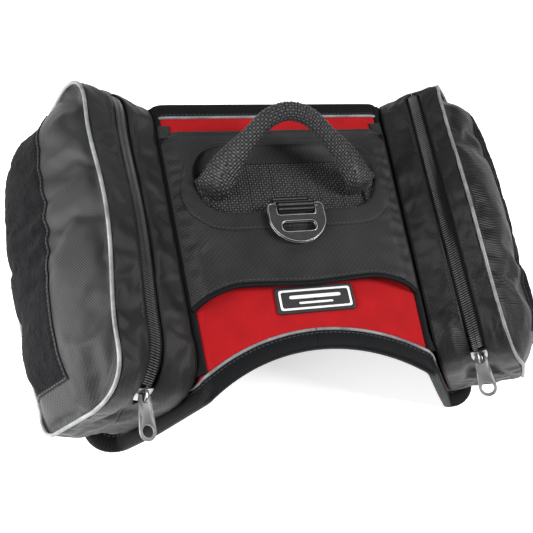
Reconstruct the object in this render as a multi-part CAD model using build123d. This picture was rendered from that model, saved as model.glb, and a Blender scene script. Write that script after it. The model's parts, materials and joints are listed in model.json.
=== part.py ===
from build123d import *

import os
from math import cos, radians, sin, tan

# Dog saddlebag harness: a padded felt vest with bound edges, a nylon bridge panel over the
# spine, a carrying handle and a lead ring that stand in the panel's cutout, and a zipped,
# stuffed saddlebag on each side.
#
# Millimetres, +Z up. The harness stands on the lower edges of its two side flaps, as it does
# over a dog's back. -Y is the neck end, and the right-hand bag, at +X, is the one on the right
# for somebody who looks from the neck towards the tail. Everything on one side is drawn once, in
# the side frame, and mirrored to the other.
#
# Side frame: the origin is the middle of the fold line between the vest centre and the flap,
# x points out from the dog through the bag's depth, y runs along the fold to the tail end,
# and z runs up the flap.

# ---- driving dimensions -------------------------------------------------------------------
FOLD_X = 81.0  # from the middle plane to the fold line, half way along it
SIDE_TILT = 31.0  # degrees from upright to the flap and the bag's back
TOE_IN = 3.0  # degrees that the fold lines close towards the neck
FLAP_HEIGHT = 104.0

BAG_LENGTH = 214.0
BAG_HEIGHT = 98.0
BAG_DEPTH = 54.0
TOP_RADIUS = 34.0  # the bag's two upper corners, seen from the side
BOTTOM_RADIUS = 14.0
WALL = 2.0  # nylon shell with its foam

VEST_THICK = 4.0
VEST_BACK_Y = 107.0  # tail edge
NECK_MID_Y = -92.0  # neck edge on the middle plane
NECK_SIDE_Y = -118.0  # neck edge at the fold lines
LOBE_Y = -124.0  # front of the flap's lower lobe
LOBE_RADIUS = 26.0
FLAP_BACK_RADIUS = 18.0
BINDING_WIDTH = 12.0
BINDING_CLOTH = 0.8
CORE_INSET = 1.0  # felt edge inside the folded binding
LINING_THICK = 0.8  # on the dog's side, flush with the binding
PIPING_WIDTH = 2.2
PIPING_HIGH = 1.0

FOLD_GAP = 0.7  # air between parts that a fold moves apart

PANEL_LOW = 6.0  # underside of the bridge panel above the vest's middle layer
PANEL_THICK = 2.4
PANEL_BACK_Y = 78.0
PANEL_SIDE_Y = -60.0
PANEL_WAVE_Y = -47.0
PANEL_MID_Y = -49.0
CUTOUT_X = 67.0
CUTOUT_FRONT_Y = 8.0
CUTOUT_BACK_Y = 62.0
CUTOUT_ROUNDING = 0.42  # corner radius as a share of the cutout's width
PANEL_CREST = 0.58  # where the front edge's waves crest, as a share of the half width
PANEL_SIDE_GAP = 3.0
PANEL_HEM = 4.0
FACING_WIDTH = 10.0
FACING_THICK = 0.8

STRAP_FRONT_Y = 2.0  # harness webbing over the shoulders
STRAP_BACK_Y = 52.0
STRAP_THICK = 2.2
STRAP_SIDE_GAP = 8.0

HANDLE_Y = 26.0  # the handle swings about the line between its two anchors
HANDLE_Z = 7.2
HANDLE_HALF_SPAN = 55.0
HANDLE_RISE = 60.0
HANDLE_BAND = 5.0  # two layers of folded webbing
HANDLE_WIDTH = 16.0
HANDLE_FOOT = 7.5  # height of each leg's narrow foot
HANDLE_SHOULDER = 0.3  # half width of the arch's top as a share of its half span
HANDLE_LEAN = 46.0  # degrees from upright towards the tail
ANCHOR_LENGTH = 12.0
ANCHOR_WIDTH = 26.0

RING_AXIS_Y = 8.6
RING_THICK = 2.4
RING_HALF_WIDTH = 20.0
RING_REACH = 28.0  # from the bar's axis to the ring's tip
RING_BAR_RADIUS = 1.7
RING_SLOT_HALF = 14.0
RING_SHOULDER = 4.0  # where the ring's straight sides turn into its bow
CLIP_SLOT = (25.0, 8.4)
CLIP_SLOT_Y = -16.0  # from the bar's axis
TAB_HALF_WIDTH = 13.4
TAB_CLOTH = 1.4
TAB_TAIL = 12.0

LABEL_SIZE = (55.0, 19.0, 1.8)
LABEL_PLACE = (4.0, -57.5)
LABEL_RELIEF = 0.5
LABEL_MARGIN = 2.0
LABEL_LINE = 1.5  # width of the raised frame

ZIP_HALF_GAP = 6.0  # from the chain's middle to the bag's cloth on each side
COIL_HALF = 3.2
COIL_SPLIT = 0.15
ZIP_END_ANGLE = 85.0  # round the neck-end corner, measured from the top
ZIP_START_LOW = 10.0  # how far the chain starts below the top at the tail end
SLIDER_ANGLE = 70.0
SLIDER_SPREAD = 9.0  # degrees each way that the slider covers on the corner
SLIDER_HALF_WIDTH = 5.6
SLIDER_PLATE = 1.2
RUN_CLEARANCE = 0.35
PULL_PIN_RADIUS = 0.8
PULL_PIN_CLEARANCE = 0.08
PULL_PIN_HIGH = 2.3  # pin axis above the slider's upper plate
PULL_LENGTH = 27.0
PULL_WIDTH = 10.0
PULL_THICK = 1.4
PULL_LEAN = 86.0  # degrees out from the flap's slope at which the pull tab stands

PAD_THICK = 1.75  # each half of the hook-and-loop pads between flap and bag
PAD_HALF_LENGTH = 80.0
PAD_ROWS = ((-40.0, -18.0), (-80.0, -58.0))  # lower and upper edge of each row
PATCH_Y = (-92.0, 100.0)  # the pile patch on the bag's face
PATCH_Z = (-90.0, -36.0)
PATCH_THICK = 1.5
TAG_LENGTH = 7.0
TAG_WIDTH = 10.0
TAG_THICK = 1.6
TAG_LOW = 0.72  # how far down the bag the tag sits, as a share of its height

# ---- worked out from those ----------------------------------------------------------------
HALF_VEST = VEST_THICK / 2
HALF_BOUND = HALF_VEST + BINDING_CLOTH
FOLD_Z = FLAP_HEIGHT * cos(radians(SIDE_TILT)) + HALF_BOUND * sin(radians(SIDE_TILT))
BAG_X = HALF_VEST + 2 * PAD_THICK
CHAIN_X = BAG_X + BAG_DEPTH / 2
FACE_X = BAG_X + BAG_DEPTH
HALF_LENGTH = BAG_LENGTH / 2
CORNER_Y = -HALF_LENGTH + TOP_RADIUS  # centre of the neck-end upper corner
CORNER_Z = -TOP_RADIUS
ZIP_END_LOW = TOP_RADIUS * (1 - cos(radians(ZIP_END_ANGLE)))
# The neck edge is an arc through its middle and its two ends at the fold lines.
NECK_DROP = NECK_MID_Y - NECK_SIDE_Y
NECK_HALF = FOLD_X + NECK_SIDE_Y * tan(radians(TOE_IN))
NECK_RADIUS = (NECK_HALF**2 + NECK_DROP**2) / (2 * NECK_DROP)
NECK_CENTRE_Y = NECK_MID_Y - NECK_RADIUS

SIDE = Location((FOLD_X, 0, FOLD_Z)) * Rotation(0, 0, -TOE_IN) * Rotation(0, -SIDE_TILT, 0)
CENTRE = Location((0, 0, FOLD_Z))


def block(x0, x1, y0, y1, z0, z1):
    """A box between two corners."""
    middle = ((x0 + x1) / 2, (y0 + y1) / 2, (z0 + z1) / 2)
    return Location(middle) * Box(x1 - x0, y1 - y0, z1 - z0)


def plate(face, low, high):
    """A flat XY outline thickened from one height to another."""
    return Pos(0, 0, low) * extrude(face, high - low)


def side_plate(face, low, high):
    """A flat outline in the side frame's YZ plane, thickened along x."""
    return Pos(low, 0, 0) * extrude(Plane.YZ * face, high - low)


def round_bar(x0, x1, y, z, radius):
    """A cylinder along X."""
    middle = Location(((x0 + x1) / 2, y, z)) * Rotation(0, 90, 0)
    return middle * Cylinder(radius, x1 - x0)


# ---- the middle, which stays still ---------------------------------------------------------
def fold_edge_x(y, gap):
    """How far out a middle part reaches at y, to stay the gap inside the fold line."""
    return FOLD_X + y * tan(radians(TOE_IN)) - gap / cos(radians(TOE_IN))


def between_folds(y0, y1, gap):
    """The outline between the fold lines."""
    front, back = fold_edge_x(y0, gap), fold_edge_x(y1, gap)
    return make_face(Polyline((-front, y0), (front, y0), (back, y1), (-back, y1), close=True))


def vest_outline(inset, gap):
    """The vest's middle, its back and neck edges moved in by the inset."""
    whole = between_folds(LOBE_Y - 1, VEST_BACK_Y - inset, gap)
    return whole - Pos(0, NECK_CENTRE_Y) * Circle(NECK_RADIUS + inset)


def neck_ring(inner, outer, gap):
    """A band that follows the neck edge between two insets."""
    circles = Circle(NECK_RADIUS + outer) - Circle(NECK_RADIUS + inner)
    return between_folds(LOBE_Y - 1, 0, gap) & (Pos(0, NECK_CENTRE_Y) * circles)


def make_vest_middle():
    gap = HALF_BOUND + FOLD_GAP
    core = plate(vest_outline(CORE_INSET, gap), -HALF_VEST, HALF_VEST)
    lining = plate(vest_outline(BINDING_WIDTH, gap), -HALF_VEST - LINING_THICK, -HALF_VEST)
    piping_y = VEST_BACK_Y - BINDING_WIDTH
    back = plate(between_folds(piping_y, VEST_BACK_Y, gap), -HALF_BOUND, HALF_BOUND)
    neck = plate(neck_ring(0, BINDING_WIDTH, gap), -HALF_BOUND, HALF_BOUND)
    back_line = between_folds(piping_y - PIPING_WIDTH, piping_y, gap)
    neck_line = neck_ring(BINDING_WIDTH, BINDING_WIDTH + PIPING_WIDTH, gap)
    back_piping = plate(back_line, HALF_VEST, HALF_VEST + PIPING_HIGH)
    neck_piping = plate(neck_line, HALF_VEST, HALF_VEST + PIPING_HIGH)
    return {
        "vest_center": core,
        "vest_lining": lining,
        "vest_back_binding": back - core,
        "vest_neck_binding": neck - core,
        "vest_back_piping": back_piping,
        "vest_neck_piping": neck_piping,
    }


def cutout_outline(margin):
    """The panel's slot: a flat tail edge, a fuller neck edge and round ends."""
    long = 2 * (CUTOUT_X + margin)
    wide = CUTOUT_BACK_Y - CUTOUT_FRONT_Y + 2 * margin
    middle = (CUTOUT_BACK_Y + CUTOUT_FRONT_Y) / 2
    return Pos(0, middle) * RectangleRounded(long, wide, wide * CUTOUT_ROUNDING)


def make_panel():
    front = fold_edge_x(PANEL_SIDE_Y, PANEL_SIDE_GAP)
    back = fold_edge_x(PANEL_BACK_Y, PANEL_SIDE_GAP)
    wave = Spline(
        (-front, PANEL_SIDE_Y),
        (-front * PANEL_CREST, PANEL_WAVE_Y),
        (0, PANEL_MID_Y),
        (front * PANEL_CREST, PANEL_WAVE_Y),
        (front, PANEL_SIDE_Y),
    )
    rest = Polyline(
        (front, PANEL_SIDE_Y), (back, PANEL_BACK_Y), (-back, PANEL_BACK_Y), (-front, PANEL_SIDE_Y)
    )
    top = PANEL_LOW + PANEL_THICK
    panel = plate(make_face(wave + rest) - cutout_outline(0), PANEL_LOW, top)
    facing = plate(cutout_outline(FACING_WIDTH) - cutout_outline(0), top, top + FACING_THICK)
    hem_back = between_folds(PANEL_BACK_Y - PANEL_HEM, PANEL_BACK_Y, PANEL_SIDE_GAP)
    return {
        "bridge_panel": panel,
        "cutout_facing": facing,
        "panel_back_hem": plate(hem_back, top, top + FACING_THICK),
    }


def make_harness_webbing():
    strap_top = HALF_VEST + STRAP_THICK
    strap_x = fold_edge_x(STRAP_FRONT_Y, STRAP_SIDE_GAP)
    strap = block(-strap_x, strap_x, STRAP_FRONT_Y, STRAP_BACK_Y, HALF_VEST, strap_top)
    anchor_low, anchor_high = strap_top, strap_top + TAB_CLOTH
    inner = HANDLE_HALF_SPAN + 3.0
    anchor = block(
        inner,
        inner + ANCHOR_LENGTH,
        HANDLE_Y - ANCHOR_WIDTH / 2,
        HANDLE_Y + ANCHOR_WIDTH / 2,
        anchor_low,
        anchor_high,
    )
    return {
        "harness_webbing": strap,
        "right_handle_anchor": anchor,
        "left_handle_anchor": mirror(anchor, about=Plane.YZ),
    }


def make_handle():
    """Folded webbing in an arch, drawn upright and then leaned towards the tail."""
    half, rise, band = HANDLE_HALF_SPAN, HANDLE_RISE, HANDLE_BAND
    shoulder = half * HANDLE_SHOULDER
    outside = make_face(
        Polyline((-half, 0), (-shoulder, rise), (shoulder, rise), (half, 0), close=True)
    )
    outside = fillet(outside.vertices().sort_by(Axis.Y)[-2:], 20)
    inner_half = half - band * 1.25
    inner_shoulder = shoulder - band * 0.45
    inside = make_face(
        Polyline(
            (-inner_half, -1),
            (-inner_shoulder, rise - band),
            (inner_shoulder, rise - band),
            (inner_half, -1),
            close=True,
        )
    )
    inside = fillet(inside.vertices().sort_by(Axis.Y)[-2:], 15)
    arch = Pos(0, HANDLE_WIDTH / 2, 0) * extrude(Plane.XZ * (outside - inside), HANDLE_WIDTH)
    # The legs narrow at their feet, which clear the harness webbing at every lean.
    arch -= block(-half - 1, half + 1, -HANDLE_WIDTH, HANDLE_WIDTH, -10, HANDLE_FOOT)
    foot = block(half - band, half - 0.5, -2.5, 2.5, 0, HANDLE_FOOT + 2)
    pivot = round_bar(half - band, half + 2.5, 0, 0, 1.0)
    feet = foot + pivot
    feet += mirror(feet, about=Plane.YZ)
    return Location((0, HANDLE_Y, HANDLE_Z)) * Rotation(-HANDLE_LEAN, 0, 0) * (arch + feet)


def ring_axis_z():
    """The webbing loop round the ring's bar just clears the cutout's facing."""
    loop_radius = RING_BAR_RADIUS + RUN_CLEARANCE + TAB_CLOTH
    return PANEL_LOW + PANEL_THICK + FACING_THICK + RUN_CLEARANCE + loop_radius


def make_ring():
    """A flat metal D: a round bar in the webbing tab, and a slot for the lead's clip."""
    half = RING_HALF_WIDTH
    top, turn = RING_BAR_RADIUS + 0.3, -RING_SHOULDER
    sides = Polyline((-half, turn), (-half, top), (half, top), (half, turn))
    bow = ThreePointArc((half, turn), (0, -RING_REACH), (-half, turn))
    body = make_face(sides + bow)
    body = fillet(body.vertices().sort_by(Axis.Y)[-2:], 3)
    bar_slot = Pos(0, -0.5) * RectangleRounded(2 * RING_SLOT_HALF, 13, 2)
    clip_slot = Pos(0, CLIP_SLOT_Y) * RectangleRounded(*CLIP_SLOT, 3.6)
    flat = Pos(0, 0, -RING_THICK / 2) * extrude(body - bar_slot - clip_slot, RING_THICK)
    bar = round_bar(-RING_SLOT_HALF - 2, RING_SLOT_HALF + 2, 0, 0, RING_BAR_RADIUS)
    return Location((0, RING_AXIS_Y, ring_axis_z())) * (flat + bar)


def make_ring_tab():
    """The webbing loop round the ring's bar, with its tail sewn to the harness webbing."""
    inner = RING_BAR_RADIUS + RUN_CLEARANCE
    outer = inner + TAB_CLOTH
    axis = Location((0, RING_AXIS_Y, ring_axis_z()))
    loop = round_bar(-TAB_HALF_WIDTH, TAB_HALF_WIDTH, 0, 0, outer)
    strap_top = HALF_VEST + STRAP_THICK
    drop = ring_axis_z() - strap_top
    tail = block(-TAB_HALF_WIDTH, TAB_HALF_WIDTH, 0, TAB_TAIL, -drop, -drop + TAB_CLOTH)
    neck = block(-TAB_HALF_WIDTH, TAB_HALF_WIDTH, outer - TAB_CLOTH, outer, -drop, 0)
    loop = loop + neck + tail - round_bar(-20, 20, 0, 0, inner)
    return axis * loop


def make_label():
    base_low = HALF_VEST
    long, wide, thick = LABEL_SIZE
    x, y = LABEL_PLACE
    base = Pos(x, y, 0) * plate(RectangleRounded(long, wide, 1.5), base_low, base_low + thick)
    margin, inside = 2 * LABEL_MARGIN, 2 * (LABEL_MARGIN + LABEL_LINE)
    outer = RectangleRounded(long - margin, wide - margin, 0.8)
    inner = RectangleRounded(long - inside, wide - inside, 0.6)
    stripes = Pos(0, 1.8) * Rectangle(36, 2.4) + Pos(0, -2.6) * Rectangle(24, 1.4)
    raised = (outer - inner) + stripes
    top = base_low + thick
    return {
        "label_base": base,
        "label_frame": Pos(x, y, 0) * plate(raised, top, top + LABEL_RELIEF),
    }


# ---- one side, in the side frame -----------------------------------------------------------
def flap_outline(inset, top):
    """The flap seen from outside: square at the fold, round at the tail and in the lobe."""
    y0, y1, z0 = LOBE_Y + inset, VEST_BACK_Y - inset, -FLAP_HEIGHT + inset
    neck_y = NECK_SIDE_Y + inset
    lobe, back = LOBE_RADIUS - inset, FLAP_BACK_RADIUS - inset
    corners = ((neck_y, top), (y0, z0 + lobe * 1.6), (y0, z0), (y1, z0), (y1, top))
    edge = FilletPolyline(*corners, radius=[2, lobe, back])
    return make_face(edge + Line((y1, top), (neck_y, top)))


def flap_band(outer, inner):
    """What lies below the fold line between two insets from the flap's edge."""
    below = Pos(0, -FLAP_HEIGHT) * Rectangle(4 * HALF_LENGTH, 2 * FLAP_HEIGHT)
    return (flap_outline(outer, 1) - flap_outline(inner, 1)) & below


def make_flap():
    core = side_plate(flap_outline(CORE_INSET, 0), -HALF_VEST, HALF_VEST)
    binding = side_plate(flap_band(0, BINDING_WIDTH), -HALF_BOUND, HALF_BOUND) - core
    line = flap_band(BINDING_WIDTH, BINDING_WIDTH + PIPING_WIDTH)
    piping = side_plate(line, HALF_VEST, HALF_VEST + PIPING_HIGH)
    lining = side_plate(flap_outline(BINDING_WIDTH, 0), -HALF_VEST - LINING_THICK, -HALF_VEST)
    return {"flap": core, "flap_binding": binding, "flap_piping": piping, "flap_lining": lining}


def make_pads():
    """Two pairs of hook-and-loop strips that hold the bag on the flap."""
    middle = HALF_VEST + PAD_THICK
    reach = PAD_HALF_LENGTH
    loops = [block(HALF_VEST, middle, -reach, reach, low, high) for low, high in PAD_ROWS]
    hooks = [block(middle, BAG_X, -reach, reach, low, high) for low, high in PAD_ROWS]
    return {"loop_pads": Compound(children=loops), "hook_pads": Compound(children=hooks)}


def bag_outline(inset):
    """The bag's side view, its corners rounder at the top than at the bottom."""
    long, high = BAG_LENGTH - 2 * inset, BAG_HEIGHT - 2 * inset
    face = Pos(0, -BAG_HEIGHT / 2) * Rectangle(long, high)
    face = fillet(face.vertices().sort_by(Axis.Y)[-2:], TOP_RADIUS - inset)
    return fillet(face.vertices().sort_by(Axis.Y)[:2], BOTTOM_RADIUS - inset)


def gusset(x0, x1, outside, inside):
    """The wall that runs round the bag, between two depths and two insets."""
    return side_plate(bag_outline(outside) - bag_outline(inside), x0, x1)


def zip_zone(x0, x1):
    """The part of the gusset that the zip takes up, from the tail corner to its end."""
    reach = HALF_LENGTH + 1
    neck = block(x0, x1, -reach, 0, -ZIP_END_LOW, 5)
    tail = block(x0, x1, 0, reach, -ZIP_START_LOW, 5)
    return neck + tail


def make_bag_back():
    """Back wall, inner half of the gusset and the bottom, which all stay on the flap."""
    split = CHAIN_X - FOLD_GAP / 2
    back = side_plate(bag_outline(0), BAG_X, BAG_X + WALL)
    ring = gusset(BAG_X + WALL, split, 0, WALL)
    ring -= zip_zone(CHAIN_X - ZIP_HALF_GAP, CHAIN_X + ZIP_HALF_GAP)
    flat_half = HALF_LENGTH - BOTTOM_RADIUS - FOLD_GAP
    edge = FACE_X - WALL - FOLD_GAP
    base = block(split, edge, -flat_half, flat_half, -BAG_HEIGHT, -BAG_HEIGHT + WALL)
    return back + ring + base


def make_lid():
    """Face and outer half of the gusset, which swing open about the bag's lower edge."""
    split = CHAIN_X + FOLD_GAP / 2
    face = side_plate(bag_outline(0), FACE_X - WALL, FACE_X)
    ring = gusset(split, FACE_X - WALL, 0, WALL)
    ring -= zip_zone(CHAIN_X - ZIP_HALF_GAP, CHAIN_X + ZIP_HALF_GAP)
    flat_half = HALF_LENGTH - BOTTOM_RADIUS
    low, high = -BAG_HEIGHT - 1, -BAG_HEIGHT + WALL + 1
    ring -= block(split - 1, FACE_X - WALL, -flat_half, flat_half, low, high)
    return face + ring


def make_zip_rows():
    tape_out, tape_in = 0.6, 1.4
    outer_tape = CHAIN_X - ZIP_HALF_GAP
    coil_edge = CHAIN_X - COIL_HALF
    middle = CHAIN_X - COIL_SPLIT
    zone = zip_zone(outer_tape, CHAIN_X + ZIP_HALF_GAP)
    stop_zone = block(outer_tape, CHAIN_X, -HALF_LENGTH - 1, 0, -ZIP_END_LOW, -ZIP_END_LOW + 3)
    inner_tape = gusset(outer_tape, coil_edge, tape_out, tape_in) & zone
    row = gusset(coil_edge, middle, 0, WALL) & zone
    # The lid's row ends where the slider parks at either end of its travel.
    straight = block(CHAIN_X, CHAIN_X + ZIP_HALF_GAP, CORNER_Y, -CORNER_Y, -5, 5)
    far_edge = CHAIN_X + COIL_HALF
    lid_tape = gusset(far_edge, CHAIN_X + ZIP_HALF_GAP, tape_out, tape_in) & straight
    lid_row = gusset(CHAIN_X + COIL_SPLIT, far_edge, 0, WALL) & straight
    return {
        "zip_tape_inner": inner_tape,
        "zip_coil_inner": row - stop_zone,
        "zip_end_stop": row & stop_zone,
        "zip_tape_lid": lid_tape,
        "zip_coil_lid": lid_row,
    }


def corner_sector(x0, x1, r0, r1, middle, spread):
    """A piece of tube about the neck-end corner, its angles measured from the top."""
    ring = Circle(r1) - Circle(r0)
    reach = 2 * TOP_RADIUS
    a, b = radians(middle - spread), radians(middle + spread)
    rays = [(-reach * sin(angle), reach * cos(angle)) for angle in (a, b)]
    wedge = make_face(Polyline((0, 0), *rays, close=True))
    return Pos(0, CORNER_Y, CORNER_Z) * side_plate(ring & wedge, x0, x1)


def slider_plates():
    """Radii of the slider's lower and upper plates about the corner."""
    upper = TOP_RADIUS + RUN_CLEARANCE
    lower = TOP_RADIUS - WALL - RUN_CLEARANCE
    return lower - SLIDER_PLATE, lower, upper, upper + SLIDER_PLATE


def pull_pin():
    """Where the pull tab's pin crosses the slider: its y and z in the side frame."""
    radius = slider_plates()[3] + PULL_PIN_HIGH
    angle = radians(SLIDER_ANGLE)
    return CORNER_Y - radius * sin(angle), CORNER_Z + radius * cos(angle)


def make_slider():
    low0, low1, up0, up1 = slider_plates()
    x0, x1 = CHAIN_X - SLIDER_HALF_WIDTH, CHAIN_X + SLIDER_HALF_WIDTH
    body = corner_sector(x0, x1, low0, low1, SLIDER_ANGLE, SLIDER_SPREAD)
    body += corner_sector(x0, x1, up0, up1, SLIDER_ANGLE, SLIDER_SPREAD)
    # The post that joins the plates stands on the lid's side, clear of the inner row.
    post_x = CHAIN_X + 1.0
    body += corner_sector(post_x, post_x + 3.0, low0, up1, SLIDER_ANGLE + 6, 3)
    y, z = pull_pin()
    lug_gap, lug_thick = 2.0, 1.2
    for sign in (-1, 1):
        inner, outer = sorted((sign * lug_gap, sign * (lug_gap + lug_thick)))
        x0, x1 = CHAIN_X + inner, CHAIN_X + outer
        body += corner_sector(x0, x1, up0, up1 + PULL_PIN_HIGH + 1.4, SLIDER_ANGLE, 2.6)
    reach = lug_gap + lug_thick
    body += round_bar(CHAIN_X - reach, CHAIN_X + reach, y, z, PULL_PIN_RADIUS)
    return body


def make_pull():
    """The pull tab, drawn hanging from its pin and then swung out clear of the bag."""
    eye_radius = 1.75
    neck_half, neck_long = 1.75, 5.0
    neck = Rectangle(2 * neck_half, neck_long, align=(Align.CENTER, Align.MAX))
    leaf = Rectangle(PULL_WIDTH, PULL_LENGTH - neck_long, align=(Align.CENTER, Align.MAX))
    leaf = Pos(0, -neck_long + 0.5) * leaf
    leaf = fillet(leaf.vertices().sort_by(Axis.Y)[:2], 4.6)
    leaf = fillet(leaf.vertices().sort_by(Axis.Y)[-2:], 2.5)
    hole = Pos(0, -PULL_LENGTH + 7.5) * RectangleRounded(4.6, 7.4, 2.2)
    blade = Pos(0, -PULL_THICK / 2, 0) * extrude(Plane.XZ * (neck + leaf - hole), -PULL_THICK)
    eye = round_bar(-neck_half, neck_half, 0, 0, eye_radius)
    pull = blade + eye - round_bar(-5, 5, 0, 0, PULL_PIN_RADIUS + PULL_PIN_CLEARANCE)
    y, z = pull_pin()
    return Location((CHAIN_X, y, z)) * Rotation(-PULL_LEAN, 0, 0) * pull


def make_bag_trim():
    """Seam binding, face piping, loop patch and the tag at the zip's end."""
    flat_half = HALF_LENGTH - TOP_RADIUS
    seam = block(BAG_X, BAG_X + 4, -flat_half, flat_half, 0, 2.2)
    piping_ring = bag_outline(-1.0) - bag_outline(PIPING_WIDTH - 1.0)
    piping = side_plate(piping_ring, FACE_X, FACE_X + 1.6)
    patch = block(FACE_X, FACE_X + PATCH_THICK, *PATCH_Y, *PATCH_Z)
    patch = fillet(patch.edges().filter_by(Axis.X), 3)
    return {"seam_binding": seam, "face_piping": piping, "loop_patch": patch}


def make_end_tag():
    """A folded reflective tag sewn into the right bag's gusset below the zip's end."""
    front, low, x0 = -HALF_LENGTH, -BAG_HEIGHT * TAG_LOW, CHAIN_X + 8
    return block(x0, x0 + TAG_WIDTH, front - TAG_LENGTH, front, low, low + TAG_THICK)


def make_side():
    parts = {}
    parts.update(make_flap())
    parts.update(make_pads())
    parts["bag_back"] = make_bag_back()
    parts["bag_lid"] = make_lid()
    parts.update(make_zip_rows())
    parts.update(make_bag_trim())
    parts["zip_slider"] = make_slider()
    parts["pull_tab"] = make_pull()
    return parts


def build():
    """Every node in its place, with the origin under the middle of the whole harness."""
    nodes = {}
    middle = {**make_vest_middle(), **make_panel(), **make_harness_webbing(), **make_label()}
    middle["handle"] = make_handle()
    middle["d_ring"] = make_ring()
    middle["ring_tab"] = make_ring_tab()
    for name, shape in middle.items():
        nodes[name] = CENTRE * shape
    for name, shape in make_side().items():
        placed = SIDE * shape
        nodes["right_" + name] = placed
        nodes["left_" + name] = mirror(placed, about=Plane.YZ)
    nodes["right_end_tag"] = SIDE * make_end_tag()
    boxes = [shape.bounding_box() for shape in nodes.values()]
    low = min(box.min.Y for box in boxes)
    high = max(box.max.Y for box in boxes)
    shift = -(low + high) / 2
    return {name: Pos(0, shift, 0) * shape for name, shape in nodes.items()}, shift


NODES, Y_SHIFT = build()

os.makedirs("parts", exist_ok=True)
for node_name, node_shape in NODES.items():
    export_step(node_shape, f"parts/{node_name}.step")
print(len(NODES), "nodes, shifted along Y by", round(Y_SHIFT, 4), "fold height", round(FOLD_Z, 3))
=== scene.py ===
import json
from math import cos, pi, radians, sin, sqrt, tan

import bmesh
import bpy
import numpy as np
from mathutils import Matrix, Vector, noise
from mathutils.bvhtree import BVHTree


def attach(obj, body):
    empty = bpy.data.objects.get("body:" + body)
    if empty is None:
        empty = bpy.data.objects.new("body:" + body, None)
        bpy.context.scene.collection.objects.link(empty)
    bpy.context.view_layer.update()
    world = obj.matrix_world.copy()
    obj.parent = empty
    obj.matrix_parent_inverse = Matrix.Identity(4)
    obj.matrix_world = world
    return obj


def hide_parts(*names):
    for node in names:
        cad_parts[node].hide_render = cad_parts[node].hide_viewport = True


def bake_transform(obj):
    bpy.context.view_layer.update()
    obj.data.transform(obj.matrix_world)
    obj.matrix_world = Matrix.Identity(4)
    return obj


# Dog saddlebag harness. Shapes are drawn in millimetres in one of two kinds of frame and then
# placed: the saddle frame, whose origin is the middle of the vest's middle layer, and the side
# frame, whose origin is the middle of the fold line, with x out through the bag, y along the
# fold to the tail and z up the flap. Left pieces are the right ones with x mirrored.

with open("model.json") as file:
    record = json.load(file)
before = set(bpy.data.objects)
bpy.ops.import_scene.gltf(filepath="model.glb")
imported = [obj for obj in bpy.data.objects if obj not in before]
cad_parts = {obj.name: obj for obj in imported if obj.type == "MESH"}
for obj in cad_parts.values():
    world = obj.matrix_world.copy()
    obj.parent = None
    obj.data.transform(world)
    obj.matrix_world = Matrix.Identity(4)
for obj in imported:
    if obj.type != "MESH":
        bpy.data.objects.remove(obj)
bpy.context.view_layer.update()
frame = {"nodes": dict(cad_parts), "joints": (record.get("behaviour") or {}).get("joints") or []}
MM = 0.001

# ---- sizes, in millimetres, as the CAD model has them --------------------------------------
FOLD_X = 81.0
SIDE_TILT = 31.0
TOE_IN = 3.0
FLAP_HEIGHT = 104.0
BAG_DEPTH = 54.0
BAG_HEIGHT = 98.0
HALF_LENGTH = 107.0
TOP_RADIUS = 34.0
BOTTOM_RADIUS = 14.0
BAG_X = 5.5
FACE_X = BAG_X + BAG_DEPTH
CHAIN_X = BAG_X + BAG_DEPTH / 2
ZIP_HALF_GAP = 6.0
ZIP_END_ANGLE = 85.0
ZIP_END_LOW = TOP_RADIUS * (1 - cos(radians(ZIP_END_ANGLE)))
ZIP_START_LOW = 10.0
CORNER_Y = TOP_RADIUS - HALF_LENGTH
CORNER_Z = -TOP_RADIUS
SLIDER_ANGLE = 70.0
PULL_PIN_RADIUS = 37.85
PULL_LEAN = 86.0
PATCH_Y = (-92.0, 100.0)
PATCH_Z = (-90.0, -36.0)

VEST_BACK_Y = 107.0
NECK_MID_Y = -92.0
NECK_SIDE_Y = -118.0
LOBE_Y = -122.0
LOBE_RADIUS = 22.0
FLAP_BACK_RADIUS = 18.0
HALF_VEST = 2.0
HALF_BOUND = 2.8
BINDING_WIDTH = 12.0
PIPING_WIDTH = 2.2

PANEL_BACK_Y = 78.0
PANEL_SIDE_Y = -60.0
PANEL_WAVE_Y = -47.0
PANEL_MID_Y = -49.0
CUTOUT_HALF = 67.0
CUTOUT_Y = (8.0, 62.0)
CUTOUT_RADIUS = 22.7
STRAP_Y = (2.0, 52.0)
STRAP_TOP = 4.2
HANDLE_Y = 26.0
HANDLE_Z = 7.2
HANDLE_LEAN = 46.0
RING_AXIS_Y = 8.6
RING_AXIS_Z = 13.0
LABEL_PLACE = (4.0, -57.5)
LABEL_SIZE = (55.0, 19.0)

# ---- sizes that only the looks need ---------------------------------------------------------
FOLD_RADIUS = 7.0  # how roundly the felt turns at the fold
FOOT_D = 102.0  # where the flap's neck corner turns out along the ground
LOBE_REACH = 24.0  # how far that corner runs on past the flap's lower edge
LOBE_BACK = (-94.0, -52.0)  # along the fold, where the lobe runs back to the edge
SEAM_D = -6.0  # where the middle's felt and bindings meet the sides' pieces
# Each bag's stuffing: how far its top edge bows up at the face, and how far it pulls the
# face's upper seam in.
FILLINGS = {
    "left": {"crown": 8.0, "pinch": 0.0, "end": 36.0},
    "right": {"crown": 13.0, "pinch": 8.0, "end": 15.0},
}
SAG = (9.0, 4.0)  # how far out and down a bag's lower outer edge sags
TAIL_SWELL = 9.0
NECK_SWELL = 5.0
CORNER_FILL = 0.2  # share by which the neck end fills out its rounded corner
FACE_SWELL = 19.0
GUSSET_SWELL = 4.6
CLOTH_THICK = 1.3

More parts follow.
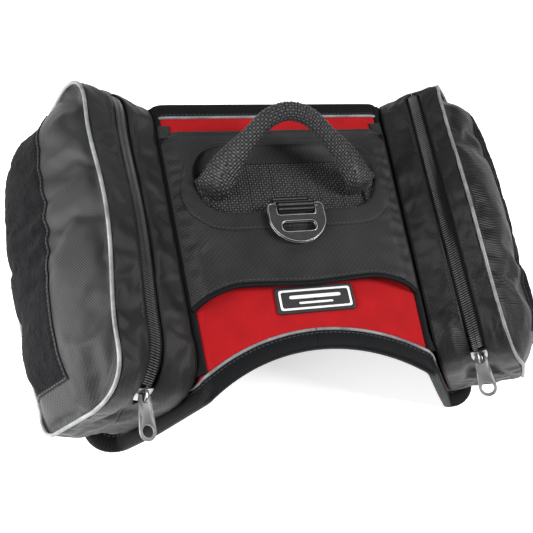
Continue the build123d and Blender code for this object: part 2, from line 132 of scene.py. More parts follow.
fold_joint = next(j for j in frame["joints"] if j["name"] == "right_fold")
SADDLE_Y = fold_joint["pos_m"][1] / MM
FOLD_Z = fold_joint["pos_m"][2] / MM
NECK_DROP = NECK_MID_Y - NECK_SIDE_Y
NECK_HALF = FOLD_X + NECK_SIDE_Y * tan(radians(TOE_IN))
NECK_RADIUS = (NECK_HALF**2 + NECK_DROP**2) / (2 * NECK_DROP)
NECK_CENTRE_Y = NECK_MID_Y - NECK_RADIUS
FOLD_TURN = radians(90 - SIDE_TILT)
FOLD_REACH = FOLD_RADIUS * tan(FOLD_TURN / 2)


# ---- frames ---------------------------------------------------------------------------------
def place_matrix(x, toe, tilt):
    move = Matrix.Translation(Vector((x, SADDLE_Y, FOLD_Z)) * MM)
    return move @ Matrix.Rotation(radians(toe), 4, "Z") @ Matrix.Rotation(radians(tilt), 4, "Y")


SADDLE = (place_matrix(0, 0, 0), 1)
SADDLE_LEFT = (place_matrix(0, 0, 0), -1)
SIDES = {
    "right": (place_matrix(FOLD_X, -TOE_IN, -SIDE_TILT), 1),
    "left": (place_matrix(-FOLD_X, TOE_IN, SIDE_TILT), -1),
}


def smoothstep(t):
    t = np.clip(t, 0.0, 1.0)
    return t * t * (3 - 2 * t)


def to_fold(x, y):
    """Saddle-frame x and y as the distance across the fold line and the place along it."""
    toe = radians(TOE_IN)
    return (x - FOLD_X) * cos(toe) - y * sin(toe), (x - FOLD_X) * sin(toe) + y * cos(toe)


def over_fold(d, s, h):
    """A point of the vest, in the saddle frame: d across the fold, s along it, h above."""
    d, s, h = np.broadcast_arrays(np.asarray(d, float), s, h)
    turn = np.clip((d + FOLD_REACH) / (2 * FOLD_REACH), 0, 1) * FOLD_TURN
    bent_p = -FOLD_REACH + FOLD_RADIUS * np.sin(turn)
    bent_q = -FOLD_RADIUS + FOLD_RADIUS * np.cos(turn)
    p = np.where(d < -FOLD_REACH, d, np.where(d > FOLD_REACH, d * cos(FOLD_TURN), bent_p))
    q = np.where(d < -FOLD_REACH, 0, np.where(d > FOLD_REACH, -d * sin(FOLD_TURN), bent_q))
    # the neck corner, lying on the ground
    past = d - FOOT_D
    back = np.clip((past + FOLD_REACH) / (2 * FOLD_REACH), 0, 1) * FOLD_TURN
    foot_p = FOOT_D * cos(FOLD_TURN) + np.where(
        past > FOLD_REACH,
        past,
        FOLD_REACH - FOLD_RADIUS * np.sin(FOLD_TURN - back),
    )
    foot_q = -FOOT_D * sin(FOLD_TURN) + FOLD_RADIUS * (1 - np.cos(FOLD_TURN - back))
    lies = np.where(past > -FOLD_REACH, 1 - smoothstep((s - LOBE_BACK[1]) / 24.0), 0)
    p = p + lies * (foot_p - p)
    q = q + lies * (foot_q - q)
    turn = turn - lies * back
    p = p + h * np.sin(turn)
    q = q + h * np.cos(turn)
    toe = radians(TOE_IN)
    x = FOLD_X + s * sin(toe) + p * cos(toe)
    y = s * cos(toe) - p * sin(toe)
    return np.stack([x, y, q], -1)


def ripple(points, size, seed=0.0):
    """Smooth noise from about -1 to 1 at each point, with bumps of the given size."""
    flat = np.asarray(points, float).reshape(-1, np.shape(points)[-1])
    scaled = flat / size + seed
    if scaled.shape[1] == 2:
        scaled = np.column_stack([scaled, np.full(len(scaled), seed)])
    values = [noise.noise(Vector(p)) for p in scaled]
    return np.array(values).reshape(np.shape(points)[:-1])


# ---- paths ----------------------------------------------------------------------------------
def arc_lengths(path):
    steps = np.linalg.norm(np.diff(path, axis=0), axis=1)
    return np.concatenate([[0], np.cumsum(steps)])


def resample(path, step, closed=False):
    """The same path with evenly spaced points."""
    path = np.asarray(path, float)
    if closed:
        path = np.vstack([path, path[:1]])
    at = arc_lengths(path)
    count = max(3, int(round(at[-1] / step)) + 1)
    want = np.linspace(0, at[-1], count)
    new = np.stack([np.interp(want, at, path[:, k]) for k in range(path.shape[1])], 1)
    return new[:-1] if closed else new


def soften(path, rounds, closed=False):
    """The path with its corners rounded off; open ends stay."""
    path = np.array(path, float)
    for _ in range(rounds):
        if closed:
            path = (np.roll(path, 1, 0) + 2 * path + np.roll(path, -1, 0)) / 4
        else:
            path[1:-1] = (path[:-2] + 2 * path[1:-1] + path[2:]) / 4
    return path


def tangents(path, closed=False):
    if closed:
        t = np.roll(path, -1, 0) - np.roll(path, 1, 0)
    else:
        t = np.gradient(path, axis=0)
    return t / np.linalg.norm(t, axis=1)[:, None]


def arc(centre, radius, start, end, count=14):
    """Points on a circle; angles in degrees."""
    angles = np.radians(np.linspace(start, end, count))
    return np.stack([centre[0] + radius * np.cos(angles), centre[1] + radius * np.sin(angles)], 1)


# ---- mesh building --------------------------------------------------------------------------
def lattice(grid, wrap=(False, False), uv=None):
    """Quads over a grid of points, with a UV map in millimetres."""
    n, m = grid.shape[:2]
    if uv is None:
        uv = (grid_lengths(grid, wrap[0], 0), grid_lengths(grid, wrap[1], 1))
    i, j = np.meshgrid(np.arange(n - (not wrap[0])), np.arange(m - (not wrap[1])), indexing="ij")
    corners = ((i, j), (i + 1, j), (i + 1, j + 1), (i, j + 1))
    quads = np.stack([(a % n) * m + (b % m) for a, b in corners], -1).reshape(-1, 4)
    uvs = np.stack([np.stack([uv[0][a], uv[1][b]], -1) for a, b in corners], 2).reshape(-1, 4, 2)
    return {"points": grid.reshape(-1, 3), "quads": quads, "uvs": uvs}


def grid_lengths(grid, closed, axis):
    middle = np.take(grid, grid.shape[1 - axis] // 2, axis=1 - axis)
    if closed:
        middle = np.vstack([middle, middle[:1]])
    return arc_lengths(middle)


def join(*shapes):
    base, points, quads, uvs = 0, [], [], []
    for shape in shapes:
        points.append(shape["points"])
        quads.append(shape["quads"] + base)
        uvs.append(shape["uvs"])
        base += len(shape["points"])
    return {
        "points": np.concatenate(points),
        "quads": np.concatenate(quads),
        "uvs": np.concatenate(uvs),
    }


def border(n, m):
    """The grid's rim as vertex numbers, in order."""
    index = np.arange(n * m).reshape(n, m)
    return np.concatenate([index[:, 0], index[-1, 1:], index[-2::-1, -1], index[0, -2:0:-1]])


def slab(top, bottom):
    """A closed sheet between two grids of the same size."""
    n, m = top.shape[:2]
    upper, lower = lattice(top), lattice(bottom)
    lower["quads"] = lower["quads"][:, ::-1]
    lower["uvs"] = lower["uvs"][:, ::-1]
    rim = border(n, m)
    after = np.roll(rim, -1)
    walls = np.stack([rim, rim + n * m, after + n * m, after], -1)
    shape = join(upper, lower)
    shape["quads"] = np.concatenate([shape["quads"], walls])
    flat = upper["points"][walls % (n * m)][:, :, :2]
    shape["uvs"] = np.concatenate([shape["uvs"], flat])
    return shape


def sweep(path, up, section, closed=False, ends=True):
    """A section of (across, up) points carried along a path."""
    path = np.asarray(path, float)
    along = tangents(path, closed)
    across = np.cross(along, up)
    across /= np.linalg.norm(across, axis=1)[:, None]
    rise = np.cross(across, along)
    section = np.broadcast_to(section, (len(path),) + np.shape(section)[-2:])
    grid = path[:, None] + across[:, None] * section[..., :1] + rise[:, None] * section[..., 1:]
    return tube(grid, closed, ends)


def tube(grid, closed=False, ends=True):
    """A closed skin over rings of points; open ends are capped by shrinking rings."""
    if ends and not closed:
        first, last = grid[:1], grid[-1:]
        shrink = [0.0, 0.5]
        heads = [first.mean(1, keepdims=True) * (1 - k) + first * k for k in shrink]
        tails = [last.mean(1, keepdims=True) * (1 - k) + last * k for k in shrink[::-1]]
        grid = np.concatenate(heads + [grid] + tails)
    return lattice(grid, (closed, True))


def round_section(radius, count=10, flat=1.0):
    angles = np.linspace(0, 2 * pi, count, endpoint=False)
    return np.stack([radius * np.cos(angles), radius * flat * np.sin(angles)], 1)


def pillow_section(half_wide, half_high, count=16, power=2.6):
    """A flattened oval: a band of cloth with full, rounded edges."""
    angles = np.linspace(0, 2 * pi, count, endpoint=False)
    c, s = np.cos(angles), np.sin(angles)
    return np.stack(
        [
            half_wide * np.sign(c) * np.abs(c) ** (2 / power),
            half_high * np.sign(s) * np.abs(s) ** (2 / power),
        ],
        1,
    )


def capsule(length, width, high, rings=5, around=6):
    """A small rounded bar along x."""
    t = np.linspace(-pi / 2, pi / 2, rings)
    a = np.linspace(0, 2 * pi, around, endpoint=False)
    x = np.broadcast_to((np.sin(t) * length / 2)[:, None], (rings, around))
    y = np.cos(t)[:, None] ** 0.6 * np.cos(a) * width / 2
    z = np.cos(t)[:, None] ** 0.6 * np.sin(a) * high / 2
    return lattice(np.stack([x, y, z], -1), (False, True))


def scatter(shape, origins, along, across, up):
    """Copies of a small shape at each origin, its x, y and z along the three directions."""
    p = shape["points"]
    points = (
        origins[:, None]
        + p[None, :, :1] * along[:, None]
        + p[None, :, 1:2] * across[:, None]
        + p[None, :, 2:] * up[:, None]
    )
    count, size = points.shape[:2]
    offsets = (np.arange(count) * size)[:, None, None]
    return {
        "points": points.reshape(-1, 3),
        "quads": (shape["quads"][None] + offsets).reshape(-1, 4),
        "uvs": np.tile(shape["uvs"], (count, 1, 1)),
    }


def stitch_row(path, up, pitch=3.1, length=2.3, width=0.6, high=0.42, closed=False):
    """Topstitching along a path."""
    path = resample(path, pitch, closed)
    along = tangents(path, closed)
    up = np.broadcast_to(up, path.shape) if np.ndim(up) == 1 else up_along(path, up)
    across = np.cross(up, along)
    across /= np.linalg.norm(across, axis=1)[:, None]
    return scatter(capsule(length, width, high), path, along, across, np.cross(along, across))


def up_along(path, up):
    """Normals given as (points, normals) pairs, looked up at the nearest point."""
    points, normals = up
    nearest = np.linalg.norm(path[:, None] - points[None], axis=2).argmin(1)
    return normals[nearest]


def make_object(name, shape, place, material, sharp=50.0, mend=True):
    """A Blender object from a shape in millimetres."""
    matrix, mirror = place
    points = shape["points"] * (mirror, 1, 1) * MM
    quads, uvs = shape["quads"], shape["uvs"]
    if mirror < 0:
        quads, uvs = quads[:, ::-1], uvs[:, ::-1]
    mesh = bpy.data.meshes.new(name)
    mesh.from_pydata(points.tolist(), [], quads.tolist())
    layer = mesh.uv_layers.new(name="weave")
    layer.data.foreach_set("uv", (np.asarray(uvs, float) * MM).ravel())
    if "relief" in shape:
        values = mesh.attributes.new("relief", "FLOAT", "POINT")
        values.data.foreach_set("value", shape["relief"])
    if mend:
        bm = bmesh.new()
        bm.from_mesh(mesh)
        bmesh.ops.remove_doubles(bm, verts=bm.verts, dist=1e-6)
        bmesh.ops.dissolve_degenerate(bm, edges=bm.edges, dist=1e-7)
        bmesh.ops.recalc_face_normals(bm, faces=bm.faces)
        bm.to_mesh(mesh)
        bm.free()
    mesh.shade_smooth()
    mesh.set_sharp_from_angle(angle=radians(sharp))
    mesh.materials.append(material)
    obj = bpy.data.objects.new(name, mesh)
    bpy.context.scene.collection.objects.link(obj)
    obj.matrix_world = matrix
    return obj


def piece(name, shape, place, material, body, slot, replaces=(), **options):
    """A finished piece that rides on a body."""
    obj = make_object(name, shape, place, material, **options)
    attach(obj, body)
    if replaces:
        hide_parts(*replaces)
    return obj


def fold_piece(name, shape, side, material, slot, replaces=(), **options):
    """A finished piece of the vest, drawn bent over the fold between the saddle and one side, and left in place
    rather than riding on a body.
    """
    place = SADDLE if side == "right" else SADDLE_LEFT
    obj = make_object(name, shape, place, material, **options)
    start, end = over_fold([SEAM_D - 1, FOLD_REACH + 3], 0.0, 0.0) * (place[1], 1, 1)
    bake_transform(obj)
    if replaces:
        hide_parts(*replaces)
    return obj


# ---- materials ------------------------------------------------------------------------------
class Look:
    """A Principled material under construction."""

    def __init__(self, name, color, roughness, **sockets):
        self.material = bpy.data.materials.new(name)
        self.material.use_nodes = True
        self.nodes = self.material.node_tree.nodes
        self.links = self.material.node_tree.links
        self.shader = self.nodes["Principled BSDF"]
        self.color = color
        self.shader.inputs["Base Color"].default_value = (*color, 1)
        self.shader.inputs["Roughness"].default_value = roughness
        for key, value in sockets.items():
            self.shader.inputs[key.replace("_", " ")].default_value = value
        self.height = None

    def node(self, kind, **values):
        made = self.nodes.new("ShaderNode" + kind)
        for key, value in values.items():
            setattr(made, key, value)
        return made

    def coordinates(self, source="weave"):
        if source == "weave":
            return self.node("UVMap", uv_map="weave").outputs["UV"]
        return self.node("TexCoord").outputs["Object"]

    def relief(self):
        """How high each point of the weave stands, from 0 in the gaps to 1 on the yarns."""
        return self.node("Attribute", attribute_name="relief").outputs["Fac"]

    def math(self, operation, a, b=0.0, c=0.0):
        made = self.node("Math", operation=operation)
        for socket, value in zip(made.inputs, (a, b, c)):
            if isinstance(value, (int, float)):
                socket.default_value = value
            else:
                self.links.new(value, socket)
        return made.outputs[0]

    def wave(self, coordinates, direction, pitch, phase=0.0):
        """A sine along a direction that repeats every pitch, in metres."""
        dot = self.node("VectorMath", operation="DOT_PRODUCT")
        self.links.new(coordinates, dot.inputs[0])
        dot.inputs[1].default_value = Vector(direction).normalized() * (2 * pi / pitch)
        shifted = self.math("ADD", dot.outputs["Value"], phase)
        return self.math("SINE", shifted)

    def speckle(self, coordinates, scale, detail=2.0, rough=0.5):
        made = self.node("TexNoise")
        made.inputs["Scale"].default_value = scale
        made.inputs["Detail"].default_value = detail
        made.inputs["Roughness"].default_value = rough
        self.links.new(coordinates, made.inputs["Vector"])
        return made.outputs["Fac"]

    def remap(self, value, low, high, to_low, to_high):
        made = self.node("MapRange")
        self.links.new(value, made.inputs["Value"])
        for key, number in (
            ("From Min", low),
            ("From Max", high),
            ("To Min", to_low),
            ("To Max", to_high),
        ):
            made.inputs[key].default_value = number
        return made.outputs["Result"]

    def mix(self, factor, a, b):
        """Colour a where the factor is 0 and b where it is 1."""
        made = self.node("Mix", data_type="RGBA")
        self.links.new(factor, made.inputs["Factor"])
        for socket, value in ((made.inputs["A"], a), (made.inputs["B"], b)):
            if isinstance(value, tuple):
                socket.default_value = (*value, 1)
            else:
                self.links.new(value, socket)
        return made.outputs["Result"]

    def paint(self, value, dark, bright):
        """The base colour, darkened and lightened by a value from 0 to 1."""
        shades = [tuple(min(1.0, c * k) for c in self.color) for k in (dark, bright)]
        result = self.mix(value, *shades)
        self.links.new(result, self.shader.inputs["Base Color"])
        return result

    def bump(self, height, distance, strength=1.0):
        made = self.node("Bump")
        made.inputs["Strength"].default_value = strength
        made.inputs["Distance"].default_value = distance
        self.links.new(height, made.inputs["Height"])
        if self.height is not None:
            self.links.new(self.height, made.inputs["Normal"])
        self.height = made.outputs["Normal"]
        self.links.new(self.height, self.shader.inputs["Normal"])

    def roughen(self, value, low, high):
        spread = self.remap(value, 0, 1, low, high)
        self.links.new(spread, self.shader.inputs["Roughness"])


def nylon(name, color, sheen=0.25, source="weave"):
    """Oxford nylon: a fine diagonal rib, soft wear and slight creases."""
    look = Look(
        name,
        color,
        0.52,
        Specular_IOR_Level=0.26,
        Sheen_Weight=sheen,
        Sheen_Roughness=0.45,
    )
    where = look.coordinates(source)
    rib = look.wave(where, (1, 1, 1), 0.00125)
    yarn = look.wave(where, (1, -1, 1), 0.0021)
    weave = look.math("MULTIPLY_ADD", yarn, 0.35, rib)
    half = look.remap(weave, -1.35, 1.35, 0, 1)
    wear = look.speckle(look.coordinates("object"), 38, 4, 0.6)
    look.paint(look.math("MULTIPLY", half, look.remap(wear, 0.3, 0.7, 0.6, 1.4)), 0.4, 2.1)
    look.bump(look.speckle(look.coordinates("object"), 90, 5, 0.55), 0.0012, 0.35)
    look.bump(half, 0.00022, 0.8)
    look.roughen(wear, 0.44, 0.6)
    return look.material


def felt(name, color):
    look = Look(
        name,
        color,
        0.88,
        Specular_IOR_Level=0.18,
        Sheen_Weight=0.08,
        Sheen_Roughness=0.55,
        Sheen_Tint=(1.0, 0.35, 0.32, 1),
    )
    where = look.coordinates("object")
    fibres = look.speckle(where, 1500, 4, 0.7)
    cloud = look.speckle(where, 60, 3, 0.5)
    both = look.math("MULTIPLY_ADD", fibres, 0.6, look.math("MULTIPLY", cloud, 0.4))
    look.paint(both, 0.4, 1.65)
    look.bump(look.speckle(where, 700, 3, 0.6), 0.00035, 0.6)
    return look.material


def ribbed(name, color, pitch=0.0013):
    """Binding tape, ribbed across its length."""
    look = Look(name, color, 0.6, Specular_IOR_Level=0.14, Sheen_Weight=0.01)
    where = look.coordinates()
    ribs = look.wave(where, (1, 0, 0), pitch)
    edge = look.wave(where, (0, 1, 0), pitch * 0.8)
    cloth = look.remap(look.math("MULTIPLY_ADD", edge, 0.4, ribs), -1.4, 1.4, 0, 1)
    fuzz = look.speckle(look.coordinates("object"), 300, 3, 0.6)
    look.paint(look.math("MULTIPLY", cloth, look.remap(fuzz, 0.3, 0.7, 0.8, 1.2)), 0.6, 1.5)
    look.bump(cloth, 0.0002, 0.8)
    look.roughen(fuzz, 0.5, 0.7)
    return look.material


def webbing(name, color):
    """The yarns of heavy webbing; the weave itself is in the mesh, and its relief paints shade into the gaps
    between yarns.
    """
    look = Look(name, color, 0.4, Specular_IOR_Level=0.45, Sheen_Weight=0.02)
    where = look.coordinates()
    fibres = look.wave(where, (0.25, 1, 0), 0.00045)
    half = look.remap(fibres, -1, 1, 0, 1)
    fuzz = look.speckle(look.coordinates("object"), 420, 3, 0.6)
    # painted shade: the relief paints the gaps between yarns near black against lighter yarn tops
    yarn = look.math("MULTIPLY", look.relief(), look.remap(fuzz, 0.3, 0.7, 0.75, 1.25))
    look.paint(look.math("MULTIPLY_ADD", half, 0.12, yarn), 0.04, 4.6)
    look.bump(half, 0.00012, 0.7)
    # painted shade on the sheen too: the gaps get almost no specular
    look.links.new(
        look.remap(look.relief(), 0.25, 0.85, 0.02, 0.75), look.shader.inputs["Specular IOR Level"]
    )
    look.roughen(fuzz, 0.3, 0.45)
    return look.material


def pile(name, color):
    """Brushed loop pile, which takes hook-backed patches."""
    look = Look(name, color, 0.95, Specular_IOR_Level=0.08, Sheen_Weight=0.02)
    where = look.coordinates("object")
    loops = look.speckle(where, 620, 3, 0.65)
    patchy = look.speckle(where, 110, 3, 0.6)
    look.paint(look.math("MULTIPLY", loops, look.remap(patchy, 0.3, 0.7, 0.5, 1.5)), 0.25, 2.6)
    look.bump(loops, 0.0011, 0.9)
    return look.material


def reflective(name, color):
    """Grey piping with a glass-bead film, scuffed here and there."""
    look = Look(name, color, 0.42, Specular_IOR_Level=0.4, Metallic=0.1)
    where = look.coordinates("object")
    beads = look.speckle(where, 2600, 2, 0.5)
    scuffs = look.speckle(where, 75, 5, 0.7)
    look.paint(look.remap(scuffs, 0.35, 0.62, 0, 1), 0.6, 1.25)
    look.bump(beads, 0.00012, 0.5)
    look.roughen(scuffs, 0.28, 0.55)
    return look.material


def metal(name, color, roughness, metallic=1.0):
    look = Look(name, color, roughness, Metallic=metallic)
    where = look.coordinates("object")
    tarnish = look.speckle(where, 210, 5, 0.65)
    look.paint(tarnish, 0.7, 1.2)
    look.roughen(tarnish, roughness * 0.7, roughness * 1.5)
    look.bump(look.speckle(where, 900, 3, 0.6), 0.00006, 0.5)
    return look.material


def rubber(name, color, roughness=0.62):
    look = Look(name, color, roughness, Specular_IOR_Level=0.4)
    where = look.coordinates("object")
    grain = look.speckle(where, 1800, 3, 0.6)
    dust = look.speckle(where, 120, 4, 0.6)
    look.paint(dust, 0.75, 1.25)
    look.bump(grain, 0.00008, 0.6)
    look.roughen(dust, roughness * 0.85, min(1.0, roughness * 1.2))
    return look.material


def thread(name, color):
    look = Look(name, color, 0.5, Specular_IOR_Level=0.5, Sheen_Weight=0.3)
    twist = look.wave(look.coordinates(), (1, 0.7, 0), 0.0005)
    half = look.remap(twist, -1, 1, 0, 1)
    look.paint(half, 0.7, 1.4)
    look.bump(half, 0.00008, 0.6)
    return look.material


def plain_floor(name):
    """A light table: white, and glowing a little, so that shadows on it stay pale."""
    look = Look(name, (0.93, 0.93, 0.93), 0.9, Specular_IOR_Level=0.1, Emission_Strength=0.65)
    look.shader.inputs["Emission Color"].default_value = (1, 1, 1, 1)
    look.paint(look.speckle(look.coordinates("object"), 3, 2, 0.5), 0.99, 1.01)
    return look.material


LOOKS = {
    "nylon": nylon("nylon", (0.0125, 0.0125, 0.013), 0.035, source="object"),
    # The two bags get lit and shaded copies of one nylon: the left copy is lighter with more sheen as painted
    # light, the right is darker with less sheen as painted shade.
    "left_nylon": nylon("left_bag_nylon_lit", (0.0105, 0.0105, 0.011), 0.035, source="object"),
    "right_nylon": nylon("right_bag_nylon_shaded", (0.006, 0.006, 0.0064), 0.014, source="object"),
    "panel": nylon("panel_nylon", (0.0145, 0.0145, 0.0152), 0.05),
    "felt": felt("felt", (0.33, 0.004, 0.0065)),
    "lining": felt("lining", (0.009, 0.009, 0.010)),
    "binding": ribbed("binding", (0.0028, 0.0031, 0.0038)),
    "tape": ribbed("zip_tape", (0.004, 0.004, 0.0045), 0.0009),
    "webbing": webbing("webbing", (0.0115, 0.0115, 0.012)),
    "pile": pile("loop_pile", (0.0035, 0.0035, 0.004)),
    "reflective": reflective("reflective", (0.21, 0.215, 0.22)),
    "black_metal": metal("black_nickel", (0.075, 0.075, 0.078), 0.4, 0.8),
    # pale metal for the D-ring's rims, a painted highlight along its edges
    "rim_highlight_metal": metal("rim_highlight_nickel", (0.55, 0.55, 0.545), 0.3, 0.7),
    "nickel": metal("satin_nickel", (0.42, 0.42, 0.42), 0.3),
    "pull": metal("matt_nickel", (0.2, 0.2, 0.203), 0.46, 0.55),
    "coil": rubber("coil_nylon", (0.12, 0.12, 0.125), 0.25),
    "rubber": rubber("label_rubber", (0.018, 0.018, 0.02)),
    "print": rubber("label_print", (0.86, 0.86, 0.86), 0.5),
    "thread": thread("thread", (0.011, 0.011, 0.012)),
}


# ---- camera, floor and light ----------------------------------------------------------------
def make_camera():
    """The product photograph's view: high, from the neck end's left, with a roll."""
    turn, high, roll = radians(31.9), radians(61.7), radians(24.75)
    target = Vector((-15.9, SADDLE_Y - 16.0, 60)) * MM
    distance = 0.4795
    back = Vector((-sin(turn) * cos(high), -cos(turn) * cos(high), sin(high)))
    right = Vector((cos(turn), -sin(turn), 0))
    up = right.cross(-back)
    leaned_right = right * cos(roll) + up * sin(roll)
    leaned_up = up * cos(roll) - right * sin(roll)
    data = bpy.data.cameras.new("camera")
    data.sensor_width = 36
    data.lens = 44.1
    camera = bpy.data.objects.new("camera", data)
    bpy.context.scene.collection.objects.link(camera)
    axes = Matrix((leaned_right, leaned_up, back)).transposed().to_4x4()
    camera.matrix_world = Matrix.Translation(target + back * distance) @ axes
    data.clip_start, data.clip_end = 0.01, 20
    bpy.context.scene.camera = camera


def make_light(name, place, target, size, power, color=(1, 1, 1)):
    data = bpy.data.lights.new(name, "AREA")
    data.shape = "RECTANGLE"
    data.size, data.size_y = size
    data.energy = power
    data.color = color
    lamp = bpy.data.objects.new(name, data)
    bpy.context.scene.collection.objects.link(lamp)
    lamp.location = place
    lamp.rotation_euler = (Vector(place) - Vector(target)).to_track_quat("Z", "Y").to_euler()


def make_studio():
    reach = 3.0
    corners = np.array([[[-reach, -reach, 0], [-reach, reach, 0]], [[reach, -reach, 0], [reach, reach, 0]]])
    floor = make_object("floor", lattice(corners / MM), (Matrix.Identity(4), 1), plain_floor("floor"))
    make_light("left", (-0.50, -0.08, 0.28), (-0.14, 0, 0.06), (0.45, 0.45), 5.6)
    make_light("right", (0.70, -0.20, 0.85), (0, 0, 0.08), (0.4, 0.4), 12)
    make_light("back", (0.1, 0.9, 0.8), (0, 0, 0.08), (0.9, 0.4), 2.5)
    world = bpy.data.worlds.new("studio")
    world.use_nodes = True
    world.node_tree.nodes["Background"].inputs["Color"].default_value = (1, 1, 1, 1)
    world.node_tree.nodes["Background"].inputs["Strength"].default_value = 0.08
    bpy.context.scene.world = world
    bpy.context.scene.view_settings.view_transform = "Standard"


# ---- the vest -------------------------------------------------------------------------------
def vest_edge(inset):
    """The vest's outline from the neck's middle round the flap to the tail's middle, in
    (across, along) fold coordinates."""
    radius = NECK_RADIUS + inset
    end = np.degrees(np.arcsin(NECK_HALF / NECK_RADIUS))
    neck = arc((0, NECK_CENTRE_Y), radius, 90, 90 - end, 40)
    neck = np.stack(to_fold(neck[:, 0], neck[:, 1]), 1)
    low = FLAP_HEIGHT - inset
    tip_s = LOBE_Y + LOBE_RADIUS
    back_d, back_s = FLAP_HEIGHT - FLAP_BACK_RADIUS, VEST_BACK_Y - FLAP_BACK_RADIUS
    side = [[8, NECK_SIDE_Y - 0.6 + inset], [60, LOBE_Y + inset]]
    lobe = arc((low + inset + LOBE_REACH - LOBE_RADIUS, tip_s), LOBE_RADIUS - inset, -90, 0)
    s_back = np.linspace(tip_s, LOBE_BACK[1] + 6, 24)
    d_back = lobe_edge(s_back, inset)
    back = arc((back_d, back_s), FLAP_BACK_RADIUS - inset, 0, 90)
    middle = np.stack(to_fold(np.array([FOLD_X, 0.0]), np.full(2, VEST_BACK_Y - inset)), 1)
    path = np.vstack([neck, side, lobe, np.column_stack([d_back, s_back]), back, middle])
    smooth = soften(resample(path, 2.0), 6)
    return smooth


def lobe_edge(s, inset):
    """How far across the fold the flap's lower edge is, at a place along it."""
    start, end = LOBE_BACK
    return FLAP_HEIGHT - inset + LOBE_REACH * (1 - smoothstep((s - start) / (end - start)))


def lobe_columns(inset):
    """Rows of points over the part of the flap past its straight lower edge."""
    first = FLAP_HEIGHT - inset - 0.5
    s = np.linspace(LOBE_Y + inset + 0.2, LOBE_BACK[1] - 0.5, 46)
    centre = FLAP_HEIGHT + LOBE_REACH - LOBE_RADIUS
    radius = LOBE_RADIUS - inset
    round_end = centre + np.sqrt(np.clip(radius**2 - (s - LOBE_Y - LOBE_RADIUS) ** 2, 0, None))
    last = np.where(s < LOBE_Y + LOBE_RADIUS, round_end, lobe_edge(s, inset))
    last = np.maximum(last, first + 0.05)
    steps = np.linspace(0, 1, 14)[:, None]
    return np.stack([first + (last - first) * steps, np.broadcast_to(s, (14, len(s)))], -1)


def felt_columns(first, last, inset):
    """Rows of (across, along) points over the vest from one column to another, where column
    0 is the middle line, 1 the fold line and 2 the flap's lower edge."""
    columns = np.linspace(first, last, int(44 * (last - first)) + 2)
    rows = np.linspace(0, 1, 74)
    grid = []
    for c in columns:
        if c <= 1:
            y = -100.0
            for _ in range(4):
                x = c * (FOLD_X + y * tan(radians(TOE_IN)))
                y = NECK_CENTRE_Y + sqrt((NECK_RADIUS + inset) ** 2 - x * x)
            ys = y + (VEST_BACK_Y - inset - y) * rows
            xs = c * (FOLD_X + ys * tan(radians(TOE_IN)))
            grid.append(np.stack(to_fold(xs, ys), 1))
            continue
        d = (c - 1) * (FLAP_HEIGHT - inset)
        back_r = FLAP_BACK_RADIUS - inset
        back_in = max(0.0, d - (FLAP_HEIGHT - FLAP_BACK_RADIUS))
        low = NECK_SIDE_Y + (LOBE_Y - NECK_SIDE_Y) * min(1.0, d / 60.0) + inset
        high = VEST_BACK_Y - inset - back_r + sqrt(max(0.0, back_r**2 - back_in**2))
        grid.append(np.stack([np.full(len(rows), d), low + (high - low) * rows], 1))
    return np.array(grid)


def vest_layer(grid, low, high, sign, waves=0.35):
    """A layer of the vest between two heights, faintly uneven."""
    flat = over_fold(grid[..., 0], grid[..., 1], 0.0)
    uneven = waves * ripple(flat[..., :2] * (sign, 1), 34.0, 3.1)
    top = over_fold(grid[..., 0], grid[..., 1], high + uneven)
    bottom = over_fold(grid[..., 0], grid[..., 1], low + uneven)
    return slab(top, bottom)


def edge_strip(inner, outer, path, section):
    """A strip along the vest's outline between two places on it; the section's points are
    (inset, height)."""
    along = arc_lengths(path)
    keep = (along >= inner) & (along <= outer)
    route = path[keep]
    t = tangents(path)[keep]
    inward = np.stack([-t[:, 1], t[:, 0]], 1)
    d = route[:, None, 0] + inward[:, None, 0] * section[None, :, 0]
    s = route[:, None, 1] + inward[:, None, 1] * section[None, :, 0]
    return tube(over_fold(d, s, section[None, :, 1]))


def binding_section():
    """Folded tape round the felt's edge, seen end on: outer edge at 0, full and soft."""
    top = [
        (0.0, 0.0), (0.25, 1.5), (1.2, 2.7), (3.0, 3.15), (6.5, 3.2), (9.4, 3.0), (10.6, 2.75), (11.8, 2.9)
    ]
    rim = [(12.2, 2.6), (12.2, 1.6)]
    under = [(12.2, -1.6), (12.2, -2.6)]
    low = [(11.8, -2.9), (10.6, -2.75), (9.4, -3.0), (6.5, -3.2), (3.0, -3.1), (1.2, -2.6), (0.25, -1.5)]
    return np.array(top + rim + under + low)


def line_section(inset, height, radius):
    return round_section(radius, 10) + (inset, height)


